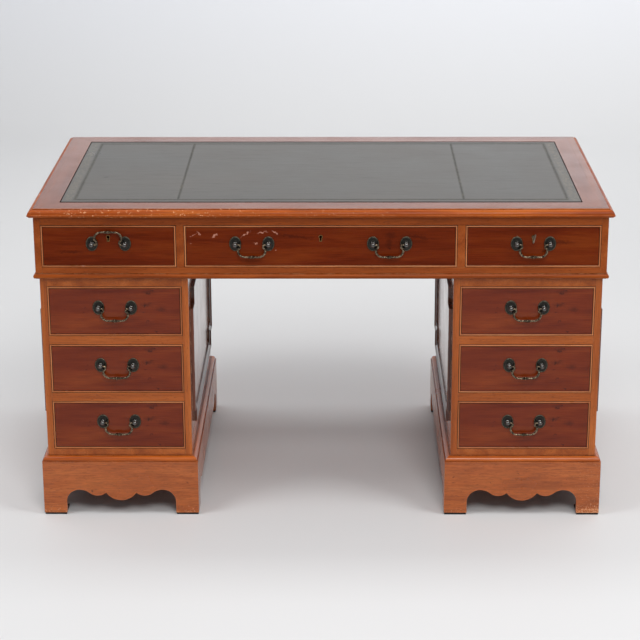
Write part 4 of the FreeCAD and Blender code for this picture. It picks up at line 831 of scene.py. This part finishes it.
# ---------------------------------------------------------------------------------------------------------
# Raised panel mouldings on the pedestal sides and the doors: a hollow moulding mitred round a panel whose
# corners are notched, planted on and polished darker than the panel.
# ---------------------------------------------------------------------------------------------------------
PANEL_NOTCH = 42
PANEL_MIDDLE = 383
SIDE_FACE = 175.75
SIDE_FRAME = (322.5, 173)
panel_profile = [(0, 0), (0, 7.3), (0.7, 8), (2.3, 8), (3, 7.4)]
panel_profile += bow((3, 7.4), (15.3, 3), 16, -1)
panel_profile += [(16, 2.4), (16, 0)]
# Yew moulding under dark polish: a chocolate line round each panel, with its edges rubbed lighter.
moulding_yew = polished_wood("yew_panel_moulding_dark_polish", "#3e1a0c", "#5e2a14", "#773b1f",
                             figure=(333.3, 16.67), wear=0.6)


def notched(half_length, half_height):
    """Corners of a panel whose corners are notched, anticlockwise."""
    near_x, near_y = half_length - PANEL_NOTCH, half_height - PANEL_NOTCH
    corner = [(half_length, near_y), (near_x, near_y), (near_x, half_height)]
    return (corner + [(-x, y) for x, y in reversed(corner)] + [(-x, -y) for x, y in corner]
            + [(x, -y) for x, y in reversed(corner)])


def upright(turns, x, y, z):
    """A place whose own XY plane stands up, with its X level and its Z out of a face after quarter turns."""
    turn = Matrix.Rotation(math.radians(90 * turns), 4, "Z") @ Matrix.Rotation(math.radians(90), 4, "X")
    return Matrix.Translation(Vector((x, y, z)) * MM) @ turn


side_frames = []
for sign in (-1, 1):
    for turns, outwards in ((3, -1), (1, 1)):
        face_x = sign * PEDESTAL_CENTRE + outwards * SIDE_FACE
        side_frames += mitred_lengths(notched(*SIDE_FRAME), panel_profile,
                                      upright(turns, face_x, 0, PANEL_MIDDLE))
stand_in("side_panel_mouldings", side_frames, "desk", "panel_mouldings", moulding_yew)

# ---------------------------------------------------------------------------------------------------------
# Drawers: fronts veneered in darker, knotty yew, framed by a proud cockbead of paler wood, on boxes of
# mahogany. A fine dark line is left on each side of the bead.
# ---------------------------------------------------------------------------------------------------------
BEAD_WIDTH = 2.9
BEAD_PROUD = 1.5
FRONT_THICKNESS = 20
FRIEZE_LEVEL = 600 * MM
REAR_LEAF_START = 3
LEAF_KNOTS = [(80, 0, 44, 5, 2.2, 4), (90, 0, 51, 4, 2, 0), (84.5, 0, 21.6, 4, 1.6, -8),
              (71, 0, 14, 5, 1.8, 0), (69, 0, -3, 4, 1.8, 6), (77, 0, -24.5, 4.5, 1.7, 0),
              (98, 0, -50.6, 5, 2, 0), (-71, 0, 8, 2.6, 1.4, 0), (-74, 0, -3.4, 3, 1.5, 0),
              (-119, 0, 5, 2, 1.2, 0)]
LEAF_SHADES = [(110, 0, 4, 16, 7, 0), (80, 0, 48, 16, 6, 0), (75, 0, 16, 18, 6, 5)]
FRIEZE_KNOTS = [(163, 0, -4, 4, 3, 0), (-86, 0, 25, 3, 1.2, 0), (520, 0, -12, 3, 1.6, 0),
                (-455, 0, 14, 3, 1.5, 0)]
FRIEZE_SHADES = [(164, 0, 26, 16, 11, 0), (160, 0, 8, 9, 14, 10), (-60, 0, 24, 60, 4, 8),
                 (230, 0, 22, 50, 4, 6), (560, 0, 10, 40, 5, 0), (-590, 0, -14, 40, 4, 0)]
FRIEZE_SCUFFS = [(-299, 0, 27, 10, 1.1, -38), (-285, 0, 32, 7, 1.2, 55), (-249, 0, 26, 8, 2.2, -30),
                 (-176, 0, 29, 15, 1.4, -34), (-137, 0, 34, 14, 1.3, -8), (-107, 0, 34, 9, 1.5, 24),
                 (-152, 0, 7, 6, 1.7, 12), (-105, 0, -9, 4, 1.2, -20), (-305, 0, 8, 3, 1, 0)]
# Yew veneer under the darkest polish: a deep red brown with bands, short flecks and a few black knots.
leaf_yew = polished_wood("yew_veneer_pedestal_fronts_dark", "#5e1c06", "#742a0c", "#853913",
                         figure=(384.6, 33.33), knots=LEAF_KNOTS, patches=LEAF_SHADES, dashes=0.3, wear=0.15,
                         specular=0.25, wax_and_shade_strength=0.9)
# The same veneer, dulled and scratched by hands, with pale scuffs, and painted darker still as shade under
# the top.
frieze_yew_shaded = polished_wood("yew_veneer_frieze_fronts_painted_shade", "#561a05", "#6a2509", "#7a330f",
                           figure=(384.6, 33.33), knots=FRIEZE_KNOTS, patches=FRIEZE_SHADES,
                           scuffs=FRIEZE_SCUFFS, dashes=0.3, wear=0.15, specular=0.06, wax_and_shade_strength=0.9)
# Straight-grained yew sapwood: a thin pale line round each front, with one bare patch.
bead_wood = polished_wood("yew_cockbead_pale", "#a0592f", "#bf7243", "#d28c59", figure=(333.3, 11.11),
                          gloss=0.3, specular=0.25, wax_and_shade_strength=0.8, marks_of=own_place,
                          scuffs=[(-557.6, -370, 637.9, 5, 3, 0)])
# Waxed mahogany: a plain, matt brown for what only shows when a drawer is open.
lining = polished_wood("mahogany_lining_waxed", "#5a3018", "#744424", "#8c5831", wear=0.1, gloss=0.5)

bead_nose = [(0.0, 0.1), (0.2, 0.85), (0.7, 1.3), (1.45, 1.5), (2.2, 1.3), (2.7, 0.85), (2.9, 0.1)]
cockbead_profile = [(0, -FRONT_THICKNESS)] + bead_nose + [(BEAD_WIDTH, -FRONT_THICKNESS)]
for joint in frame["joints"]:
    drawer = joint["child"]
    if not drawer.endswith("_drawer"):
        continue
    boards = []
    for solid in solids_of(drawer):
        low, high = extent(solid)
        depth = (high - low).y / MM
        # The plain cockbead of the CAD only says where the rounded one goes.
        if abs(depth - FRONT_THICKNESS - BEAD_PROUD) < 0.1:
            ring_low, ring_high = low, high
            solid.free()
            continue
        is_front = abs(depth - FRONT_THICKNESS) < 0.1
        ease(solid, 0.5 * MM)
        paint(solid, 0 if is_front else 2)
        in_frieze = high.z > FRIEZE_LEVEL
        # The leaf runs on across the frieze. The rear fronts are cut from farther along it.
        leaf = Vector((0 if in_frieze else -(low.x + high.x) / 2, -low.y, -(low.z + high.z) / 2))
        if low.y > 0:
            leaf.x += REAR_LEAF_START
        set_grain(solid, 0 if is_front else long_way(solid), leaf if is_front else None)
        boards.append(solid)
    faces_front = joint["axis"][1] < 0
    middle = (ring_low + ring_high) / 2 / MM
    half = (ring_high - ring_low) / 2 / MM
    face_y = ring_low.y / MM + BEAD_PROUD if faces_front else ring_high.y / MM - BEAD_PROUD
    boards += mitred_lengths(rectangle(half.x, half.z), cockbead_profile,
                             upright(0 if faces_front else 2, middle.x, face_y, middle.z), material=1)
    stand_in(f"{drawer}_boards", boards, drawer, drawer, frieze_yew_shaded if in_frieze else leaf_yew, bead_wood,
             lining)

for node in ("drawer_runners", "locating_blocks"):
    dressed(node, "desk", f"{node}_strips", (lining,))

# ---------------------------------------------------------------------------------------------------------
# Roses and posts of the handles: cast brass under a dark lacquer. An oval rose with a raised rim backs a
# turned post, whose stud runs through the drawer front to a nut.
# ---------------------------------------------------------------------------------------------------------
HANDLE_CENTRES = 78
PIVOT_REACH = 11
ROSE_HALF_WIDTH, ROSE_HALF_HEIGHT = 14, 17.5
RIM_START = 0.87
HEAD_RADIUS = 6
NUT_RADIUS, STUD_RADIUS = 5, 2
NUT_THICKNESS = 3


def aged_brass(name, dark, worn, rough=0.3, show=0.5, patch=0.35, lacquer=0.0):
    """Cast brass under old lacquer: dark in the hollows, bare and brighter where it is handled."""
    material, tree, output = new_material(name)
    blotches = add(tree, "ShaderNodeTexNoise", {"Vector": own_place(tree), "Scale": to_metre(4.1667),
                                                "Detail": 4, "Roughness": 0.65}).outputs[0]
    hollows = add(tree, "ShaderNodeAmbientOcclusion", {"Distance": 3 * MM}, samples=6)
    open_parts = add(tree, "ShaderNodeMapRange", {"Value": hollows.outputs["AO"], "From Min": 0.45,
                                                  "From Max": 0.95, "To Max": show})
    spots = add(tree, "ShaderNodeMapRange", {"Value": blotches, "From Min": 0.4, "From Max": 0.65,
                                             "To Min": 1 - patch, "To Max": 1.0})
    bare = add(tree, "ShaderNodeMath", {0: open_parts.outputs[0], 1: on_edges(tree, 0.9 * MM, 0.99, 0.8)},
               operation="MAXIMUM")
    share = add(tree, "ShaderNodeMath", {0: bare.outputs[0], 1: spots.outputs[0]}, operation="MULTIPLY")
    colour = add(tree, "ShaderNodeMix", {"Factor": share.outputs[0], 6: linear(dark), 7: linear(worn)},
                 data_type="RGBA").outputs[2]
    roughness = add(tree, "ShaderNodeMapRange", {"Value": blotches, "From Min": 0.3, "From Max": 0.7,
                                                 "To Min": rough - 0.06, "To Max": rough + 0.12})
    cast = add(tree, "ShaderNodeBump", {"Height": blotches, "Strength": 0.15, "Distance": 0.2 * MM})
    shader = add(tree, "ShaderNodeBsdfPrincipled", {
        "Base Color": colour, "Metallic": 0.85, "Roughness": roughness.outputs[0], "Normal": cast.outputs[0],
        "Coat Weight": lacquer, "Coat Roughness": 0.06, "Coat IOR": 1.8})
    tree.links.new(shader.outputs[0], output.inputs["Surface"])
    return material


# Brass under lacquer gone brown: nearly black plates, a greener rim rubbed and painted paler as a highlight,
# and glints on the ball heads.
rose_brass = aged_brass("brass_cast_dark_lacquer", "#15130f", "#4a4538", show=0.15, rough=0.4, lacquer=0.2)
rim_brass_highlit = aged_brass("brass_cast_rim_rubbed_painted_highlight", "#23201a", "#8f8a74", show=0.45, rough=0.35, patch=0.8)
post_brass = aged_brass("brass_turned_post_lacquered", "#24201c", "#7d746a", show=0.2, lacquer=1.0)


def turned(profile, segments=28):
    """A piece turned about Y: its profile is pairs of radius and distance out from the face, in mm."""
    solid = bmesh.new()
    line = [solid.verts.new((radius, -out, 0)) for radius, out in profile]
    edges = [solid.edges.new(pair) for pair in zip(line, line[1:])]
    bmesh.ops.spin(solid, geom=line + edges, cent=(0, 0, 0), axis=(0, 1, 0), dvec=(0, 0, 0), steps=segments,
                   angle=2 * math.pi, use_merge=True, use_normal_flip=False, use_duplicate=False)
    bmesh.ops.remove_doubles(solid, verts=solid.verts, dist=0.0005)
    bmesh.ops.recalc_face_normals(solid, faces=solid.faces)
    return solid


def put(solid, matrix):
    """Move a piece made in mm to its place in metres."""
    bmesh.ops.transform(solid, matrix=Matrix.Scale(MM, 4) @ matrix, verts=solid.verts)
    return solid


rose_profile = [(0, 0), (1, 0), (1, 1.0), (0.965, 1.6), (0.9, 1.7), (0.85, 1.25), (0.8, 1.0), (0.62, 1.15),
                (0.5, 1.6), (0.4, 2.6), (0.3, 3.0), (0, 3.1)]
post_profile = [(0, 2.4), (4.6, 2.4), (4.9, 3.1), (4.3, 3.8), (3.3, 4.3), (3.0, 5.0)]
post_profile += arc((0, PIVOT_REACH), HEAD_RADIUS, -54, 81, 15)
post_profile += [(1.6, 16.9), (1.2, 17), (0, 17)]
nut_back = -FRONT_THICKNESS - NUT_THICKNESS
nut_profile = [(0, -FRONT_THICKNESS), (NUT_RADIUS, -FRONT_THICKNESS), (NUT_RADIUS, nut_back),
               (STUD_RADIUS, nut_back), (STUD_RADIUS, nut_back - 3), (0, nut_back - 3)]


def handle_frame(joint):
    """The place of a handle's pivot in mm, turned to the rear where the handle is on that side."""
    turn = Matrix.Rotation(0 if joint["axis"][0] < 0 else math.pi, 4, "Z")
    return Matrix.Translation(Vector(joint["pos_m"]) / MM) @ turn


for body in frame["bodies"]:
    bails = [joint for joint in frame["joints"]
             if joint["child"].endswith("_bail") and joint["parent"] == body]
    if not bails:
        continue
    solids = []
    for joint in bails:
        for x in (-HANDLE_CENTRES / 2, HANDLE_CENTRES / 2):
            at = handle_frame(joint) @ Matrix.Translation((x, PIVOT_REACH, 0))
            rose, post, nut = turned(rose_profile, 36), turned(post_profile), turned(nut_profile, 6)
            # The rim of each rose takes the paler brass: wear and a painted highlight.
            for face in rose.faces:
                face.material_index = 1 if face.calc_center_median().xz.length > RIM_START else 0
            paint(post, 2)
            oval = Matrix.Diagonal((ROSE_HALF_WIDTH, 1, ROSE_HALF_HEIGHT, 1))
            solids += [put(rose, at @ oval), put(post, at), put(nut, at)]
    stand_in(f"{body}_roses_and_posts", solids, body, f"{body}_fittings", rose_brass, rim_brass_highlit, post_brass,
             smooth_angle=40)

# ---------------------------------------------------------------------------------------------------------
# Bails: brass rod bent to a swan neck at each end, pinned into the posts, and swelling to turned beads in
# the middle of the bar. The lacquer has gone from most of it. One is left standing up against its drawer.
# ---------------------------------------------------------------------------------------------------------
NECK_X, NECK_RADIUS = 31, 4.5
SHOULDER = (25.5, -14.03)
SHOULDER_RADIUS = 6.5
CORNER = (16.03, -14.03)
CORNER_RADIUS = 15.97
BAR_DROP = 30
PIN_RADIUS = 2.1
ROD_RADIUS = 2.3
SWELL, SWELL_DROP, SWELL_SPREAD = 0.8, 17, 8
BEADS_HALF_LENGTH = 11.3
RAISED_ANGLE = 188
# Bare cast brass: a warm, broken gold with the old lacquer left brown in its hollows.
bail_brass = aged_brass("brass_cast_lacquer_worn", "#1d1814", "#c2ab8c", show=0.55, rough=0.22, patch=0.9)
rod_line = [(37.5, 0)] + arc((NECK_X, -NECK_RADIUS), NECK_RADIUS, 90, 240, 10)
rod_line += arc(SHOULDER, SHOULDER_RADIUS, 60, 0, 5)[1:] + arc(CORNER, CORNER_RADIUS, 0, -90, 8)[1:]
rod_line += [(13, -BAR_DROP), (8, -BAR_DROP)]
bead_line = [(0, 4.2), (0.7, 4.2), (1.2, 3.6), (1.5, 2.5), (1.9, 2.6), (2.3, 3.6), (3.1, 4.1), (4.0, 3.6),
             (4.5, 2.4), (4.8, 2.4), (5.2, 3.2), (6.0, 3.5), (6.8, 3.0), (7.2, 2.2), (7.8, 2.2), (8.2, 2.8),
             (8.9, 3.0), (9.6, 2.7), (10.1, 2.1), (11.2, 2.0)]


def rod_radius(z):
    """Thick between the neck and the corner, thinner towards the beads and the pin."""
    return PIN_RADIUS if z > -1 else ROD_RADIUS + SWELL * math.exp(-((z + SWELL_DROP) / SWELL_SPREAD) ** 2)


def bent_bar(points, radii, thickness, resolution, closed):
    """Round bar bent through points in one plane: thickness is its radius, times each point's own."""
    data = bpy.data.curves.new("bar", "CURVE")
    data.dimensions = "3D"
    data.bevel_depth, data.bevel_resolution = thickness, resolution
    data.use_fill_caps = not closed
    spline = data.splines.new("POLY")
    spline.points.add(len(points) - 1)
    spline.use_cyclic_u = closed
    for point, at, radius in zip(spline.points, points, radii):
        point.co, point.radius = (*at, 1), radius
    bent = bpy.data.objects.new("bar", data)
    mesh = bpy.data.meshes.new_from_object(bent)
    bar = bmesh.new()
    bar.from_mesh(mesh)
    for item, block in ((bent, bpy.data.objects), (data, bpy.data.curves), (mesh, bpy.data.meshes)):
        block.remove(item)
    bmesh.ops.remove_doubles(bar, verts=bar.verts, dist=0.001)
    bmesh.ops.recalc_face_normals(bar, faces=bar.faces)
    return bar


def bail_solids(matrix):
    """The rod, bent and tapered, and its turned beads, in mm about the middle of the pivot line."""
    line = rod_line + [(-x, z) for x, z in reversed(rod_line)]
    rod = bent_bar([(x, 0, z) for x, z in line], [rod_radius(z) for x, z in line], 1, 3, False)
    beads = turned([(0, BEADS_HALF_LENGTH)] + [(radius, out) for out, radius in reversed(bead_line)]
                   + [(radius, -out) for out, radius in bead_line[1:]] + [(0, -BEADS_HALF_LENGTH)], 20)
    along_bar = Matrix.Translation((0, 0, -BAR_DROP)) @ Matrix.Rotation(math.radians(90), 4, "Z")
    return [put(rod, matrix), put(beads, matrix @ along_bar)]


for joint in frame["joints"]:
    bail = joint["child"]
    if not bail.endswith("_bail"):
        continue
    raised = joint["range_deg"][1] == 0
    lift = Matrix.Rotation(math.radians(-RAISED_ANGLE if raised else 0), 4, "X")
    stand_in(f"{bail}_swan_neck", bail_solids(handle_frame(joint) @ lift), bail, bail, bail_brass,
             smooth_angle=50)

# ---------------------------------------------------------------------------------------------------------
# Escutcheons of the three front locks: a thread of brass bent round each keyhole, let in and left a little
# proud of the veneer.
# ---------------------------------------------------------------------------------------------------------
KEY_HEIGHT = 706.5
FRIEZE_FACE = -368
LOCKED = (("front_left_drawer", -498.25), ("front_centre_drawer", 0), ("front_right_drawer", 498.25))
THREAD_INSIDE, THREAD_OUTSIDE = 3.4, 5
THREAD_LET_IN, THREAD_THICKNESS = 0.3, 0.9


def keyhole_line(radius, half_width, foot, begin, finish):
    """The outline of a keyhole: a round head and a straight slot down to its foot, in mm."""
    return [(half_width, foot)] + arc((0, 0), radius, begin, finish, 16) + [(-half_width, foot)]


def escutcheon():
    """A thread of brass that follows the keyhole and stands a little proud of Y = 0, in mm."""
    solid = bmesh.new()
    edges = []
    for ring in (keyhole_line(THREAD_INSIDE, 1.6, -9.5, -62, 242),
                 keyhole_line(THREAD_OUTSIDE, 3.2, -11.1, -50, 230)):
        verts = [solid.verts.new((x, THREAD_LET_IN, z)) for x, z in ring]
        edges += [solid.edges.new(pair) for pair in zip(verts, verts[1:] + verts[:1])]
    faces = bmesh.ops.bridge_loops(solid, edges=edges)["faces"]
    run = bmesh.ops.extrude_face_region(solid, geom=faces, use_keep_orig=True)["geom"]
    bmesh.ops.translate(solid, vec=(0, -THREAD_THICKNESS, 0),
                        verts=[vert for vert in run if isinstance(vert, bmesh.types.BMVert)])
    bmesh.ops.recalc_face_normals(solid, faces=solid.faces)
    ease(solid, 0.25, 60)
    return solid


# Brass sheet that dusting has kept bright: a plain, warm, brownish gold.
plate_brass = aged_brass("brass_plate_rubbed", "#3c2c1a", "#a07a48", show=0.7)
for body, x in LOCKED:
    name = f"{body}_escutcheon"
    thread = put(escutcheon(), Matrix.Translation((x, FRIEZE_FACE, KEY_HEIGHT)))
    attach(finished(name, joined(name, [thread]), plate_brass), body)

# ---------------------------------------------------------------------------------------------------------
# Key and bolt: a cast iron key, left in the right-hand lock with its pierced bow nearly upright, and the
# iron bolt that it throws.
# ---------------------------------------------------------------------------------------------------------
KEY_TILT = 14
LOOP_POINTS = 28
# Oiled iron: a dark grey brown, worn to pale bare metal where fingers turn it.
key_iron = aged_brass("iron_key_oiled", "#2c2621", "#b9aa94", show=0.6, rough=0.28)


def loop_of(centre, half_length, half_height, thickness):
    """A closed ring of round bar in the plane X = 0, in mm."""
    angles = [2 * math.pi * number / LOOP_POINTS for number in range(LOOP_POINTS)]
    points = [(0, centre[0] + half_length * math.cos(angle), centre[1] + half_height * math.sin(angle))
              for angle in angles]
    return bent_bar(points, [1] * LOOP_POINTS, thickness, 2, True)


shank_profile = [(0, 10.6), (1.6, 10.6), (2.0, 9.8), (2.0, 8.6), (3.2, 8.2), (3.2, 6.8), (2.3, 6.4),
                 (2.3, 5.2), (3.0, 4.8), (3.0, 4.0), (2.2, 3.6), (2.2, -25), (0, -25)]
key_solids = [loop_of((-17.5, 0), 6.1, 10.2, 1.6), loop_of((-18, 4.4), 3.4, 4, 1.1),
              loop_of((-18, -4.4), 3.4, 4, 1.1), turned(shank_profile, 16)]
bit = bmesh.new()
bmesh.ops.create_cube(bit, size=1,
                      matrix=Matrix.Translation((0, 23, -4.2)) @ Matrix.Diagonal((2.2, 4, 8.4, 1)))
ease(bit, 0.3)
key_solids.append(bit)
key_place = Matrix.Translation((LOCKED[2][1], FRIEZE_FACE, KEY_HEIGHT)) @ Matrix.Rotation(
    math.radians(KEY_TILT), 4, "Y")
stand_in("lock_key", [put(solid, key_place) for solid in key_solids], "drawer_key", "drawer_key", key_iron,
         smooth_angle=40)
dressed("lock_bolt", "lock_bolt", "lock_bolt_eased", (key_iron,), 0.4 * MM)

# ---------------------------------------------------------------------------------------------------------
# Cupboard doors behind: slabs veneered upright like the sides, with a planted moulding. Each hangs on a pair
# of brass butts and has a turned brass knob.
# ---------------------------------------------------------------------------------------------------------
DOOR_FRAME = (118.75, 165.5)
DOOR_MIDDLE = 375.5
THINNEST_SLAB = 19
REAR_FACE = 360.5
KNOB_OFFSET = 132.75
knob_profile = [(0, 0), (6.5, 0), (6.5, 1.2), (5.6, 2), (4.2, 2.6), (3.6, 5), (3.8, 7), (6.4, 8.6),
                (8.6, 10.6), (9, 12.4), (8.4, 14.2), (6.4, 15.4), (3, 15.9), (0, 16)]
for side, sign in (("left", -1), ("right", 1)):
    boards = []
    for solid in solids_of(f"{side}_door"):
        low, high = extent(solid)
        # The plain moulding of the CAD makes room for the one with a hollow.
        if (high - low).y < THINNEST_SLAB * MM or high.y > (REAR_FACE + 2) * MM:
            solid.free()
            continue
        ease(solid)
        set_grain(solid, 2)
        boards.append(solid)
    boards += mitred_lengths(notched(*DOOR_FRAME), panel_profile,
                             upright(2, sign * PEDESTAL_CENTRE, REAR_FACE, DOOR_MIDDLE), material=1)
    stand_in(f"{side}_door_panel", boards, f"{side}_door", f"{side}_door", carcase_yew, moulding_yew)
    knob_place = Matrix.Translation((sign * (PEDESTAL_CENTRE - KNOB_OFFSET), REAR_FACE, DOOR_MIDDLE))
    knob = put(turned(knob_profile), knob_place @ Matrix.Rotation(math.pi, 4, "Z"))
    leaves = [solid for solid in solids_of(f"{side}_door_fittings")
              if (extent(solid)[1] - extent(solid)[0]).z > 30 * MM]
    for leaf in leaves:
        ease(leaf, 0.2 * MM)
    stand_in(f"{side}_door_knob_and_leaves", leaves + [knob], f"{side}_door", f"{side}_door_fittings",
             plate_brass, smooth_angle=40)
dressed("door_jamb_hinges", "desk", "jamb_leaves", (plate_brass,), 0.2 * MM)
